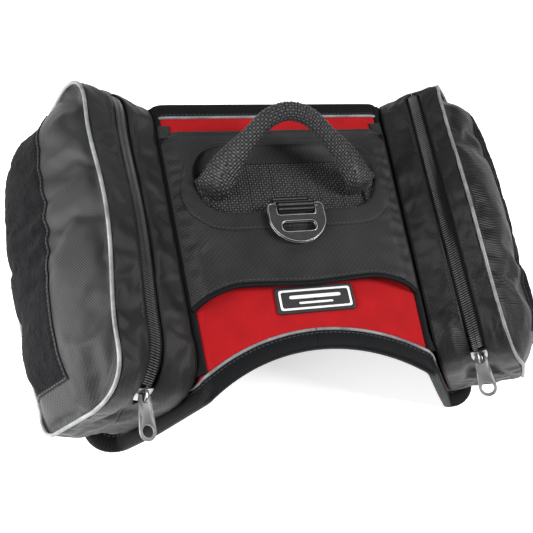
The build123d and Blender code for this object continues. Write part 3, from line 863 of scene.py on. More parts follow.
def make_vest():
    path = vest_edge(0)
    along = arc_lengths(path)
    total = along[-1]
    crossings = along[np.nonzero(np.diff(path[:, 0] > SEAM_D))[0] + 1]
    neck_seam, back_seam = crossings[0], crossings[-1]
    inner = BINDING_WIDTH + PIPING_WIDTH / 2
    seam_column = 1 + SEAM_D / FOLD_X
    parts = {
        "binding": binding_section(),
        "piping": line_section(inner, HALF_VEST + 0.55, 1.1),
    }
    spans = {"neck": (0, neck_seam), "flap": (neck_seam, back_seam), "back": (back_seam, total)}
    for side, place in (("right", SADDLE), ("left", SADDLE_LEFT)):
        sign = place[1]
        for kind, section in parts.items():
            look = LOOKS["binding" if kind == "binding" else "reflective"]
            slot = "binding" if kind == "binding" else "reflective"
            for span, (start, end) in spans.items():
                shape = edge_strip(start, end, path, section)
                if span == "flap":
                    fold_piece(f"{side}_flap_{kind}_sewn", shape, side, look, slot, [f"{side}_flap_{kind}"])
                else:
                    name = f"{side}_vest_{span}_{kind}_sewn"
                    piece(name, shape, place, look, "saddle", slot, [f"vest_{span}_{kind}"])
        row = path + 10.6 * np.stack([-tangents(path)[:, 1], tangents(path)[:, 0]], 1)
        for span, (start, end) in spans.items():
            keep = (along >= start) & (along <= end)
            top = over_fold(row[keep][:, 0], row[keep][:, 1], HALF_BOUND + 0.05)
            above = over_fold(row[keep][:, 0], row[keep][:, 1], HALF_BOUND + 1.0) - top
            shape = stitch_row(top, (top, above))
            if span == "flap":
                fold_piece(f"{side}_flap_stitches", shape, side, LOOKS["thread"], "binding")
            else:
                piece(f"{side}_vest_{span}_stitches", shape, place, LOOKS["thread"], "saddle", "binding")
        middle = felt_columns(0, seam_column, 2.5)
        flap = felt_columns(seam_column, 2, 2.5)
        obj = piece(
            f"{side}_vest_felt",
            vest_layer(middle, -HALF_VEST, HALF_VEST, sign),
            place,
            LOOKS["felt"],
            "saddle",
            "felt",
            ["vest_center"],
        )
        obj = fold_piece(
            f"{side}_flap_felt",
            join(
                vest_layer(flap, -HALF_VEST, HALF_VEST, sign, 0.2),
                vest_layer(lobe_columns(2.5), -HALF_VEST, HALF_VEST, sign, 0.2),
            ),
            side,
            LOOKS["felt"],
            "felt",
            [f"{side}_flap"],
        )
        low, high = -HALF_VEST - 0.8, -HALF_VEST - 0.05
        middle = felt_columns(0, seam_column, 11.0)
        flap = felt_columns(seam_column, 2, 11.0)
        shape = vest_layer(middle, low, high, sign, 0.1)
        piece(f"{side}_vest_tricot", shape, place, LOOKS["lining"], "saddle", "lining", ["vest_lining"])
        shape = join(
            vest_layer(flap, low, high, sign, 0.1),
            vest_layer(lobe_columns(11.0), low, high, sign, 0.1),
        )
        fold_piece(f"{side}_flap_tricot", shape, side, LOOKS["lining"], "lining", [f"{side}_flap_lining"])


# ---- the bridge panel and what stands in its cutout --------------------------------------------
def panel_side(y):
    """How far out the panel reaches at y: to the fold line."""
    return FOLD_X + 1.5 + y * tan(radians(TOE_IN))


def panel_front(x):
    """The panel's wavy neck edge."""
    share = np.abs(x) / panel_side(PANEL_SIDE_Y)
    crest = 0.58
    rise = PANEL_WAVE_Y - PANEL_MID_Y
    inner = PANEL_MID_Y + rise * smoothstep(share / crest)
    outer = PANEL_WAVE_Y + (PANEL_SIDE_Y - PANEL_WAVE_Y) * np.clip(
        (share - crest) / (1 - crest), 0, 2
    ) ** 1.7
    return np.where(share < crest, inner, outer)


def cutout_loop(margin, count=264):
    """The cutout's edge, moved out by the margin, as points by even angle round its middle."""
    r = CUTOUT_RADIUS + margin
    a = CUTOUT_HALF + margin - r
    y0, y1 = CUTOUT_Y[0] - margin + r, CUTOUT_Y[1] + margin - r
    corners = (((a, y1), 0), ((-a, y1), 90), ((-a, y0), 180), ((a, y0), 270))
    loop = np.vstack([arc(centre, r, start, start + 90, 30) for centre, start in corners])
    return by_angle(loop, count)


def by_angle(loop, count):
    """A star-shaped loop sampled at even angles round the cutout's middle."""
    middle = np.array([0, sum(CUTOUT_Y) / 2])
    dense = resample(loop, 0.8, closed=True) - middle
    angle = np.unwrap(np.arctan2(dense[:, 1], dense[:, 0]))
    if angle[-1] < angle[0]:
        dense, angle = dense[::-1], angle[::-1]
    order = np.argsort(np.mod(angle, 2 * pi))
    angle, radius = np.mod(angle, 2 * pi)[order], np.linalg.norm(dense, axis=1)[order]
    want = np.linspace(0, 2 * pi, count, endpoint=False)
    found = np.interp(want, angle, radius, period=2 * pi)
    return middle + found[:, None] * np.stack([np.cos(want), np.sin(want)], 1)


def panel_loop(count=264):
    front_x = np.linspace(-1, 1, 81) * panel_side(PANEL_SIDE_Y)
    front = np.stack([front_x, panel_front(front_x)], 1)
    back_x = panel_side(PANEL_BACK_Y)
    back = np.array([[back_x, PANEL_BACK_Y], [-back_x, PANEL_BACK_Y]])
    return by_angle(np.vstack([front, back]), count)


def panel_height(x, y):
    """The panel's upper side above the vest's middle layer, with its pull folds."""
    to_side = (panel_side(y) - np.abs(x)) * cos(radians(TOE_IN))
    to_back = PANEL_BACK_Y - y
    to_front = y - panel_front(x)
    high = 3.6 + 4.9 * smoothstep(to_side / 13.0)
    high = high - 2.2 * (1 - smoothstep(to_back / 12.0))
    high = high + 0.9 * (1 - smoothstep(to_front / 14.0)) * smoothstep(to_side / 20.0)
    points = np.stack([x, y], -1)
    high = high + 0.55 * ripple(points, 42.0, 1.7) * smoothstep(to_side / 16.0)
    pull = np.exp(-(((np.abs(x) - 66) / 13.0) ** 2) - ((y + 14) / 26.0) ** 2)
    creases = np.sin((np.abs(x) * 0.55 + y) / 2.7 + 1.5 * ripple(points, 18.0, 5.0))
    high = high + 0.8 * pull * creases * np.where(x < 0, 1.0, 0.5)
    seam = np.exp(-((to_side / 11.0) ** 2)) * smoothstep(to_side / 3.0)
    high = high + 0.75 * seam * np.sin(y / 1.55 + 2.5 * ripple(points, 14.0, 7.0))
    slack = np.exp(-(((x - 8) / 26.0) ** 2) - ((y + 22) / 9.0) ** 2)
    return high + 0.45 * slack * np.sin(x / 7.0 + y / 5.0)


def make_panel():
    inner, outer = cutout_loop(0.3), panel_loop()
    steps = np.linspace(0, 1, 44)[:, None, None]
    flat = inner + (outer - inner) * steps
    high = panel_height(flat[..., 0], flat[..., 1])
    top = np.concatenate([flat, high[..., None]], -1)
    bottom = np.concatenate([flat, high[..., None] - 1.5], -1)
    ring = np.concatenate([top, bottom[::-1]])
    shape = lattice(ring, (True, True))
    shape["uvs"] = shape["points"][shape["quads"]][:, :, :2]
    panel = piece("bridge_panel_cloth", shape, SADDLE, LOOKS["panel"], "saddle", "nylon", ["bridge_panel"])
    facing = make_facing()
    hems = [make_front_hem(), make_back_hem()]


def make_corner_tabs():
    """The folded seam ends that stand out past the panel at its two tail corners."""
    for side, place in (("right", SADDLE), ("left", SADDLE_LEFT)):
        edge = panel_side(PANEL_BACK_Y)
        gx, gy = np.meshgrid(
            np.linspace(edge - 8.2, edge + 1.0, 16), np.linspace(-3.0, 8.6, 20) + PANEL_BACK_Y,
            indexing="ij"
        )
        inset = np.minimum(np.minimum(gx - edge + 8.2, edge + 1.0 - gx), PANEL_BACK_Y + 8.6 - gy)
        high = 1.1 * smoothstep(inset / 1.2) + 0.15 * ripple(np.stack([gx, gy], -1), 6.0, 3.0)
        top = np.stack([gx, gy, HALF_VEST + 0.7 + high], -1)
        bottom = np.stack([gx, gy, np.full_like(gx, HALF_VEST + 0.2)], -1)
        piece(f"{side}_panel_corner_tab", slab(top, bottom), place, LOOKS["panel"], "saddle", "nylon")


def facing_width(y):
    """The facing is widest on the neck side of the cutout and narrow on the tail side."""
    share = smoothstep((CUTOUT_Y[1] - y) / (CUTOUT_Y[1] - CUTOUT_Y[0]))
    return 5.0 + 8.5 * share


def make_facing():
    """The padded lip round the cutout: over the panel, over the edge and down inside it."""
    edge = cutout_loop(0)
    middle = np.array([0, sum(CUTOUT_Y) / 2])
    out = soften(edge_normals(edge), 6, closed=True)
    wide = facing_width(edge[:, 1])[:, None]
    lip = 0.75 + 0.55 * smoothstep((edge[:, 1] - middle[1]) / 20.0)[:, None]
    puff = 0.22 * ripple(edge, 9.0, 8.0)[:, None]
    rings = []
    profile = (
        (1.0, 0.15),
        (1.0, 0.7),
        (0.93, 0.95),
        (0.6, 1.0),
        (0.3, 1.25),
        (0.12, 1.4),
        (0.02, 1.0),
    )
    for share, high in profile:
        p = edge + out * wide * share
        z = panel_height(p[:, 0], p[:, 1])[:, None] + high * lip * 1.25 + puff * (share < 0.9)
        rings.append(np.hstack([p, z]))
    lean = 10.5 * smoothstep((edge[:, 1] - middle[1] - 2) / 20.0)[:, None]
    walls = ((-0.8, 0.8, 0.1), (-1.2, 2.4, 0.6), (-1.0, 4.2, 1.0), (-0.2, 4.6, 0.9), (0.1, 2.4, 0.0))
    for inset, drop, share in walls:
        p = edge + out * (inset - lean * share)
        z = panel_height(edge[:, 0], edge[:, 1])[:, None] - drop
        rings.append(np.hstack([p, np.maximum(z, STRAP_TOP + 0.3)]))
    shape = lattice(np.array(rings), (True, True))
    facing = piece(
        "cutout_facing_cloth", shape, SADDLE, LOOKS["nylon"], "saddle", "nylon", ["cutout_facing"]
    )
    row = edge + out * (wide - 1.3)
    z = panel_height(row[:, 0], row[:, 1]) + 1.25 * 0.98 * lip[:, 0]
    path = np.column_stack([row, z])
    stitches = stitch_row(path, np.array([0, 0, 1.0]), closed=True)
    piece("cutout_stitches", stitches, SADDLE, LOOKS["thread"], "saddle", "nylon")
    return facing


def edge_normals(loop):
    t = tangents(loop, closed=True)
    return np.stack([t[:, 1], -t[:, 0]], 1)


def make_front_hem():
    """A rolled hem along the wavy neck edge."""
    x = np.linspace(-1, 1, 150) * (panel_side(PANEL_SIDE_Y) - 0.3)
    y = panel_front(x)
    path = np.column_stack([x, y + 0.9, panel_height(x, y) - 0.7])
    section = pillow_section(1.9, 1.15, 14)
    shape = sweep(path, np.array([0, 0, 1.0]), section)
    hem = piece("panel_front_hem", shape, SADDLE, LOOKS["binding"], "saddle", "binding")
    path[:, 1] += 3.2
    path[:, 2] = panel_height(path[:, 0], path[:, 1]) + 0.05
    piece(
        "panel_front_stitches", stitch_row(path[2:-2], np.array([0, 0, 1.0])), SADDLE, LOOKS["thread"],
        "saddle", "binding"
    )
    return hem


def make_back_hem():
    x = np.linspace(-1, 1, 110) * (panel_side(PANEL_BACK_Y) - 0.5)
    y = np.full_like(x, PANEL_BACK_Y - 1.4)
    path = np.column_stack([x, y, panel_height(x, y) - 0.5])
    shape = sweep(path, np.array([0, 0, 1.0]), pillow_section(2.0, 1.1, 14))
    hem = piece(
        "panel_back_hem_rolled", shape, SADDLE, LOOKS["panel"], "saddle", "nylon", ["panel_back_hem"]
    )
    path[:, 1] -= 3.6
    path[:, 2] = panel_height(path[:, 0], path[:, 1]) + 0.05
    piece(
        "panel_back_stitches", stitch_row(path, np.array([0, 0, 1.0])), SADDLE, LOOKS["thread"], "saddle",
        "nylon"
    )
    return hem


def weave_height(u, v, pitch, depth):
    """Over-and-under bumps of a coarse basket weave."""
    c = np.cos(pi * u / pitch) * np.cos(pi * v / pitch)
    over = np.clip(c, 0, 1) ** 0.6
    under = 0.62 * np.clip(-c, 0, 1) ** 0.6
    return depth * (over + under)


def in_relief(shape, high):
    """Notes on a woven shape how high its first points stand above the gaps; the webbing material turns this into
    painted shade in the gaps.
    """
    values = np.zeros(len(shape["points"]))
    values[: high.size] = np.clip(high.ravel() / WEAVE_DEPTH, 0, 1)
    shape["relief"] = values
    return shape


WEAVE_PITCH = 1.9
WEAVE_DEPTH = 0.85


def make_strap():
    """The harness webbing that shows in the cutout."""
    x = np.arange(-73.0, 73.01, 0.45)
    y = np.arange(STRAP_Y[0], STRAP_Y[1] + 0.01, 0.38)
    gx, gy = np.meshgrid(x, y, indexing="ij")
    high = weave_height(gx, gy, WEAVE_PITCH, WEAVE_DEPTH)
    edge = np.minimum(gy - STRAP_Y[0], STRAP_Y[1] - gy)
    high = high * smoothstep(edge / 1.2)
    top = np.stack([gx, gy, STRAP_TOP - 0.85 + high], -1)
    bottom = np.stack([gx, gy, np.full_like(gx, HALF_VEST + 0.25)], -1)
    piece(
        "harness_webbing_woven",
        in_relief(slab(top, bottom), high),
        SADDLE,
        LOOKS["webbing"],
        "saddle",
        "webbing",
        ["harness_webbing"],
        sharp=80.0,
    )
    for side, place in (("right", SADDLE), ("left", SADDLE_LEFT)):
        x = np.arange(57.5, 71.01, 0.45)
        y = np.arange(HANDLE_Y - 12.5, HANDLE_Y + 12.51, 0.45)
        gx, gy = np.meshgrid(x, y, indexing="ij")
        high = weave_height(gx, gy, WEAVE_PITCH, WEAVE_DEPTH)
        top = np.stack([gx, gy, STRAP_TOP + 1.0 + high], -1)
        bottom = np.stack([gx, gy, np.full_like(gx, STRAP_TOP + 0.05)], -1)
        piece(
            f"{side}_handle_anchor_woven",
            in_relief(slab(top, bottom), high),
            place,
            LOOKS["webbing"],
            "saddle",
            "webbing",
            [f"{side}_handle_anchor"],
            sharp=80.0,
        )
        box = np.array([[59.5, -10.5], [69.5, -10.5], [69.5, 10.5], [59.5, 10.5]]) + (0, HANDLE_Y)
        cross = [resample(box[[0, 2]], 1.0), resample(box[[1, 3]], 1.0), resample(box, 1.0, closed=True)]
        rows = [np.column_stack([p, np.full(len(p), STRAP_TOP + 1.85)]) for p in cross]
        shape = join(*[stitch_row(p, np.array([0, 0, 1.0]), 2.6, 2.0, 0.7, 0.5) for p in rows])
        piece(f"{side}_anchor_stitches", shape, place, LOOKS["thread"], "saddle", "webbing")


def spline(points, count):
    """A smooth open curve through a few points."""
    points = np.asarray(points, float)
    padded = np.vstack([2 * points[0] - points[1], points, 2 * points[-1] - points[-2]])
    curve = []
    spans = len(points) - 1
    for k in range(spans):
        p0, p1, p2, p3 = padded[k : k + 4]
        t = np.linspace(0, 1, 24, endpoint=k == spans - 1)[:, None]
        curve.append(
            0.5
            * (
                2 * p1
                + (p2 - p0) * t
                + (2 * p0 - 5 * p1 + 4 * p2 - p3) * t**2
                + (3 * p1 - p0 - 3 * p2 + p3) * t**3
            )
        )
    dense = np.vstack(curve)
    return resample(dense, arc_lengths(dense)[-1] / (count - 1))


def make_handle():
    """Webbing that rises flat from its anchors and rolls into a tube at the top."""
    arch = [
        (-72, -2.2), (-64, -1.6), (-57.5, 3.0), (-45.5, 22), (-30, 39.5), (-17.5, 52), (-3, 56.8),
        (12, 52.5), (26.5, 39.5), (42, 23), (54.5, 3.5), (61, -1.6), (70, -2.2)
    ]
    route = spline(arch, 380)
    reach = np.maximum(route[:, 1], 0)
    lean = radians(HANDLE_LEAN) * smoothstep(reach / 13.0)
    order = np.argsort(reach)
    steps = np.diff(reach[order], prepend=0.0)
    back, up = np.zeros(len(route)), np.zeros(len(route))
    back[order] = np.cumsum(steps * np.sin(lean[order]))
    up[order] = np.cumsum(steps * np.cos(lean[order]))
    sink = np.minimum(route[:, 1], 0)
    path = np.column_stack([route[:, 0], HANDLE_Y + back, HANDLE_Z - 0.2 + up + sink])
    along = tangents(path)
    wide_way = np.column_stack([np.zeros(len(path)), np.cos(lean), -np.sin(lean)])
    outward = np.cross(along, wide_way)
    outward /= np.linalg.norm(outward, axis=1)[:, None]
    at = arc_lengths(path)
    share = np.minimum(at, at[-1] - at) / (at[-1] / 2)
    rolled = smoothstep((share - 0.22) / 0.5)
    half_wide = 11.6 * (1 - rolled) + 6.3 * rolled
    half_wide = half_wide - 2.0 * (1 - smoothstep(share / 0.16))
    half_thick = 1.6 * (1 - rolled) + 5.0 * rolled
    around = 120
    angles = np.linspace(0, 2 * pi, around, endpoint=False)
    c, s = np.cos(angles), np.sin(angles)
    power = 2 / (3.2 - 1.0 * rolled)[:, None]
    w = half_wide[:, None] * np.sign(c) * np.abs(c) ** power
    t = half_thick[:, None] * np.sign(s) * np.abs(s) ** power
    girth = np.cumsum(
        np.hypot(np.diff(w, append=w[:, :1], axis=1), np.diff(t, append=t[:, :1], axis=1)), axis=1
    )
    weave = weave_height(at[:, None], girth - girth[:, :1], WEAVE_PITCH, WEAVE_DEPTH) - 0.3
    nw, nt = w / half_wide[:, None] ** 2, t / half_thick[:, None] ** 2
    length = np.maximum(np.hypot(nw, nt), 1e-6)
    w = w + weave * nw / length
    t = t + weave * nt / length
    twist = radians(68) * smoothstep(share / 0.15)
    across = wide_way * np.cos(twist)[:, None] + outward * np.sin(twist)[:, None]
    through = outward * np.cos(twist)[:, None] - wide_way * np.sin(twist)[:, None]
    grid = path[:, None] + across[:, None] * w[..., None] + through[:, None] * t[..., None]
    shape = tube(grid)
    ends = np.zeros((2, around))
    shape = in_relief(shape, np.concatenate([ends, weave + 0.3, ends]))
    obj = make_object("handle_woven", shape, SADDLE, LOOKS["webbing"], sharp=80.0)
    low = np.array([0, HANDLE_Y, HANDLE_Z - 2.0])
    high = low + 15.0 * np.array([0, sin(radians(HANDLE_LEAN)), cos(radians(HANDLE_LEAN))])
    ends = [SADDLE[0] @ Vector(p * MM) for p in (low, high)]
    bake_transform(obj)
    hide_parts("handle")


def make_ring_tab():
    """The webbing loop that holds the ring, with three ridges over its bar."""
    radius, cloth = 2.75, 1.3
    turn = np.radians(np.linspace(-95, 165, 30))
    loop = np.stack([RING_AXIS_Y - radius * np.sin(turn), RING_AXIS_Z + radius * np.cos(turn)], 1)
    loop = loop[::-1]
    tail = np.array(
        [
            [RING_AXIS_Y + 3.4, 8.5], [RING_AXIS_Y + 4.2, 5.9], [RING_AXIS_Y + 6.0, 5.0],
            [RING_AXIS_Y + 12.0, 4.95]
        ]
    )
    profile = resample(np.vstack([loop, tail]), 0.5)
    x = np.linspace(-13.2, 13.2, 70)
    n = len(profile)
    t = tangents(profile)
    out = np.stack([t[:, 1], -t[:, 0]], 1)
    centre = np.array([RING_AXIS_Y, RING_AXIS_Z])
    if np.sum(out[: n // 2] * (profile[: n // 2] - centre)) < 0:
        out = -out
    at = arc_lengths(profile)
    gx, ga = np.meshgrid(x, at, indexing="ij")
    ridges = 0.55 * (0.5 + 0.5 * np.cos(2 * pi * ga / 2.6)) ** 2
    fine = 0.1 * np.cos(2 * pi * gx / 1.5)
    edge = smoothstep((13.2 - np.abs(gx)) / 0.8)
    high = cloth / 2 + (ridges + fine) * edge
    upper = np.stack(
        [gx, profile[None, :, 0] + out[None, :, 0] * high, profile[None, :, 1] + out[None, :, 1] * high], -1
    )
    low = np.full_like(gx, -cloth / 2)
    lower = np.stack(
        [gx, profile[None, :, 0] + out[None, :, 0] * low, profile[None, :, 1] + out[None, :, 1] * low], -1
    )
    shape = in_relief(slab(upper, lower), (ridges + fine) * edge * 1.9 * WEAVE_DEPTH)
    piece("ring_tab_woven", shape, SADDLE, LOOKS["webbing"], "saddle", "webbing", ["ring_tab"])


def make_ring_highlights():
    """Bright rims along the lead ring's edges: thin pale tubes that paint a highlight onto them."""
    half, reach, shoulder, thick, slot_half, slot_low = 19.9, 27.9, 4.0, 2.4, 14.1, -7.1
    deep = reach - shoulder
    bow = (half**2 + deep**2) / (2 * deep)
    start = np.degrees(np.arctan2(bow - deep, half))
    outline = np.vstack(
        [
            arc((half - 3, -1.1), 3, 90, 0, 8),
            arc((0, bow - reach), bow, start, -180 - start, 60),
            arc((3 - half, -1.1), 3, 180, 90, 8),
            arc((-slot_half - 0.3, 1.6), 0.3, 90, 0, 4),
            arc((2 - slot_half, slot_low + 2), 2, 180, 270, 8),
            arc((slot_half - 2, slot_low + 2), 2, 270, 360, 8),
            arc((slot_half + 0.3, 1.6), 0.3, 180, 90, 4),
        ]
    )
    clip_slot = rounded_loop(12.6, 4.3, 3.7, 90) + (0, -16.0)
    shapes = []
    for loop in (resample(outline, 0.6, closed=True), clip_slot):
        for level in (-1, 1):
            path = np.column_stack([loop, np.full(len(loop), level * (thick / 2 - 0.14))])
            path = path + (0, RING_AXIS_Y, RING_AXIS_Z)
            shapes.append(sweep(path, np.array([0, 0, 1.0]), round_section(0.27, 8), closed=True))
    piece("d_ring_highlight_rims", join(*shapes), SADDLE, LOOKS["rim_highlight_metal"], "ring", "black_metal")


def dress_node(name, look, bevel=0.0, edge_highlight=None):
    """A CAD node whose shape is right gets a finish and, on metal, softened edges, whose bevel faces may take a
    second finish as a painted edge highlight."""
    node = frame["nodes"][name]
    node.data.materials.clear()
    node.data.materials.append(look)
    if bevel:
        weld = node.modifiers.new("weld", "WELD")
        weld.merge_threshold = 1e-6
        edge = node.modifiers.new("edges", "BEVEL")
        edge.width = bevel * MM
        edge.segments = 3
        edge.limit_method = "ANGLE"
        edge.angle_limit = radians(40)
    # the second finish on the bevel faces paints a highlight along the edges
    if edge_highlight:
        node.data.materials.append(edge_highlight)
        edge.material = 1
    return node


def make_label():
    base_low = HALF_VEST + 0.1
    x, y = LABEL_PLACE
    long, wide = LABEL_SIZE
    rounded = rounded_loop(long / 2, wide / 2, 1.8, 96)
    rings = []
    for inset, z in ((0.5, 0.0), (0.0, 0.3), (0.0, 1.2), (0.35, 1.65), (0.9, 1.75), (1.4, 1.7), (1.9, 1.45), (2.4, 1.45)):
        rings.append(np.column_stack([shrink(rounded, long, wide, inset), np.full(96, z)]))
    for share in (0.6, 0.3, 0.04):
        rings.append(np.column_stack([rounded * share, np.full(96, 1.45)]))
    shape = lattice(np.array(rings + [np.column_stack([rounded * 0.04, np.full(96, 0.0)])]), (True, True))
    shape["points"] = shape["points"] + (x, y, base_low)
    piece(
        "label_base_moulded", shape, SADDLE, LOOKS["rubber"], "saddle", "label_rubber", ["label_base"],
        sharp=40.0
    )
    top = base_low + 1.4
    frame_rings = []
    for inset, z in ((2.3, 0.0), (2.3, 0.55), (2.5, 0.7), (3.5, 0.7), (3.7, 0.55), (3.7, 0.0)):
        frame_rings.append(np.column_stack([shrink(rounded, long, wide, inset), np.full(96, z)]))
    shapes = [lattice(np.array(frame_rings), (True, True))]
    for centre, size in (((0, 1.8), (36, 2.4)), ((0, -2.6), (24, 1.4))):
        bar = rounded_loop(size[0] / 2, size[1] / 2, 0.4, 48)
        levels = ((1.0, 0.0), (1.0, 0.5), (0.985, 0.65), (0.5, 0.65), (0.02, 0.65), (0.02, 0.0))
        rings = [np.column_stack([bar * k + centre, np.full(48, z)]) for k, z in levels]
        shapes.append(lattice(np.array(rings), (True, True)))
    shape = join(*shapes)
    shape["points"] = shape["points"] + (x, y, top)
    piece(
        "label_frame_moulded", shape, SADDLE, LOOKS["print"], "saddle", "label_print", ["label_frame"],
        sharp=40.0
    )


def rounded_loop(half_x, half_y, radius, count):
    corners = (((1, 1), 0), ((-1, 1), 90), ((-1, -1), 180), ((1, -1), 270))
    a, b = half_x - radius, half_y - radius
    loop = np.vstack([arc((sx * a, sy * b), radius, start, start + 90, 8) for (sx, sy), start in corners])
    return resample(loop, arc_lengths(np.vstack([loop, loop[:1]]))[-1] / count, closed=True)[:count]


def shrink(loop, long, wide, inset):
    return loop * ((long - 2 * inset) / long, (wide - 2 * inset) / wide)


# ---- the bags -------------------------------------------------------------------------------
filling = dict(FILLINGS["left"])


def bag_rise(x, y):
    """How far the stuffed bag's top bows up: most at the face, nothing at the fold."""
    share = np.clip((x - BAG_X) / BAG_DEPTH, 0, 1.1)
    bow = np.clip(1 - (y / (HALF_LENGTH - TOP_RADIUS)) ** 2, 0, 1) ** 2
    return filling["crown"] * share * bow


def corner_fill(y, z, sign, free):
    """How far a point of one rounded end corner moves out as stuffing squares it up."""
    out, up = sign * y + CORNER_Y, z - CORNER_Z
    angle = np.arctan2(out, up)
    share = np.where((out > 0) & (up > 0), CORNER_FILL * free * np.sin(2 * angle) ** 2, 0)
    return sign * out * share, up * share


def stuffed(points):
    """How stuffing fills the bag: its ends and corners push out past the line they were cut
    to, except where the zip holds them in, and its lower outer edge sags outward."""
    x, y, z = points[..., 0], points[..., 1], points[..., 2]
    depth = smoothstep((x - BAG_X) / (CHAIN_X - BAG_X))
    end = np.clip((y - 50) / (HALF_LENGTH - 50), 0, 1) ** 2
    tail = TAIL_SWELL * (0.4 + 0.6 * depth) * end * smoothstep((z + 60) / 45.0)
    free = smoothstep((np.abs(x - CHAIN_X) - ZIP_HALF_GAP - 1) / 9.0)
    neck_y, neck_z = corner_fill(y, z, -1, free)
    tail_y, tail_z = corner_fill(y, z, 1, 1.0)
    below = smoothstep((-z - 8) / 26.0)
    neck = -NECK_SWELL * np.maximum(free, smoothstep((-z - 44) / 14.0)) * below
    neck = neck * np.clip((CORNER_Y - y) / TOP_RADIUS, 0, 1) ** 2
    outer = np.clip((x - CHAIN_X) / (FACE_X - CHAIN_X), 0, 1)
    bow = np.clip(1 - ((y - 20) / 112.0) ** 2, 0, 1)
    sag = outer * bow * smoothstep((-z - 45) / 50.0)
    past_zip = CHAIN_X + ZIP_HALF_GAP + 2.5
    pinch = filling["pinch"] * np.clip(
        (x - past_zip) / (FACE_X - past_zip), 0, 1
    ) * smoothstep((z + 50) / 50.0)
    return np.stack(
        [
            x + SAG[0] * sag - pinch,
            y + tail + neck + neck_y + tail_y,
            z - SAG[1] * sag + neck_z + tail_z,
        ],
        -1,
    )


def face_columns(count=84):
    t = np.linspace(-1, 1, count)
    return HALF_LENGTH * (0.5 * t + 0.5 * np.sin(pi * t / 2))


def face_range(y):
    """Lowest and highest z of the bag's side view at y, without its bow."""
    top_in = max(0.0, abs(y) - (HALF_LENGTH - TOP_RADIUS))
    low_in = max(0.0, abs(y) - (HALF_LENGTH - BOTTOM_RADIUS))
    high = -TOP_RADIUS + sqrt(max(0.0, TOP_RADIUS**2 - top_in**2))
    low = -BAG_HEIGHT + BOTTOM_RADIUS - sqrt(max(0.0, BOTTOM_RADIUS**2 - low_in**2))
    return low, high


def face_grid(x, full=True):
    """The bag's side view filled with rows of points at one depth."""
    rows = np.linspace(0, 1, 36)
    grid = []
    for y in face_columns():
        low, high = face_range(y)
        z = low + (high - low) * rows
        z = z + bag_rise(x, y) * rows**2
        grid.append(np.column_stack([np.full(len(rows), x), np.full(len(rows), y), z]))
    return stuffed(np.array(grid)) if full else np.array(grid)


def rim_at(x, flat_rim):
    """The side view's rim moved to a depth x, which may differ from point to point."""
    y, z = flat_rim[:, 1], flat_rim[:, 2]
    up = smoothstep((z + TOP_RADIUS) / 10.0)
    rim = np.column_stack([np.broadcast_to(x, y.shape), y, z + bag_rise(x, y) * up])
    return stuffed(rim)


def zip_edge(flat_rim, at_zip, elsewhere):
    """How deep the cloth reaches round the rim: to the zip's tape or to the seam past it."""
    y, z = flat_rim[:, 1], flat_rim[:, 2]
    end = np.where(y < 0, -ZIP_END_LOW, -ZIP_START_LOW)
    return elsewhere + (at_zip - elsewhere) * smoothstep((z - end) / 3.0)


def cloth_shell(x_from, to_zip, past_zip, steps, with_bottom):
    """A bag half before it is stuffed: its wall at x_from and the gusset round it. Returns
    points, faces, and which points are sewn down."""
    wall = face_grid(x_from)
    n, m = wall.shape[:2]
    rim = border(n, m)
    flat = face_grid(BAG_X, False).reshape(-1, 3)[rim]
    edge = zip_edge(flat, to_zip, past_zip)
    rings = [rim_at(x_from + (edge - x_from) * (k / steps), flat) for k in range(1, steps + 1)]
    points = np.concatenate([wall.reshape(-1, 3), *rings])
    quads = list(lattice(wall)["quads"])
    size = len(rim)
    ring_index = [rim] + [n * m + k * size + np.arange(size) for k in range(steps)]
    flat_half = HALF_LENGTH - BOTTOM_RADIUS
    for inner, outer in zip(ring_index, ring_index[1:]):
        for k in range(size):
            k2 = (k + 1) % size
            middle_y = abs(flat[k, 1] + flat[k2, 1]) / 2
            on_base = flat[k, 2] < -BAG_HEIGHT + 1 and middle_y < flat_half
            if on_base and not with_bottom:
                continue
            quads.append((inner[k], inner[k2], outer[k2], outer[k]))
    sewn = np.zeros(len(points), bool)
    sewn[rim] = True
    sewn[ring_index[-1]] = True
    return points, np.array(quads), sewn


def blow_up(name, points, quads, sewn, outward, swell):
    """Stuffs a bag half: cloth simulation with pressure, its seams held. Returns the new
    points, none of them further from home than the swell allows."""
    mesh = bpy.data.meshes.new(name)
    mesh.from_pydata((points * MM).tolist(), [], quads.tolist())
    obj = bpy.data.objects.new(name, mesh)
    bpy.context.scene.collection.objects.link(obj)
    group = obj.vertex_groups.new(name="sewn")
    group.add(np.nonzero(sewn)[0].tolist(), 1.0, "REPLACE")
    cloth = obj.modifiers.new("stuffing", "CLOTH")
    cloth.settings.quality = 6
    cloth.settings.mass = 0.25
    cloth.settings.tension_stiffness = 30
    cloth.settings.compression_stiffness = 12
    cloth.settings.shear_stiffness = 12
    cloth.settings.bending_stiffness = 0.35
    cloth.settings.shrink_min = -0.035
    cloth.settings.use_pressure = True
    cloth.settings.uniform_pressure_force = 4.0
    cloth.settings.vertex_group_mass = "sewn"
    cloth.settings.pin_stiffness = 1.0
    cloth.settings.effector_weights.gravity = 0
    cloth.point_cache.frame_start = 1
    cloth.point_cache.frame_end = 24
    scene = bpy.context.scene
    for step in range(1, 23):
        scene.frame_set(step)
    graph = bpy.context.evaluated_depsgraph_get()
    result = obj.evaluated_get(graph).to_mesh()
    moved = np.zeros(len(points) * 3, np.float32)
    result.vertices.foreach_get("co", moved)
    moved = moved.reshape(-1, 3).astype(float) / MM
    obj.evaluated_get(graph).to_mesh_clear()
    scene.frame_set(1)
    bpy.data.objects.remove(obj)
    bpy.data.meshes.remove(mesh)
    return limit(points, moved, swell)


def limit(points, moved, swell):
    """Keeps each point within its own distance of where it started."""
    shift = moved - points
    far = np.linalg.norm(shift, axis=1)
    most = np.maximum(swell, 1e-6)
    eased = most * np.tanh(far / most)
    return points + shift * np.where(far > 1e-9, eased / np.maximum(far, 1e-9), 0)[:, None]


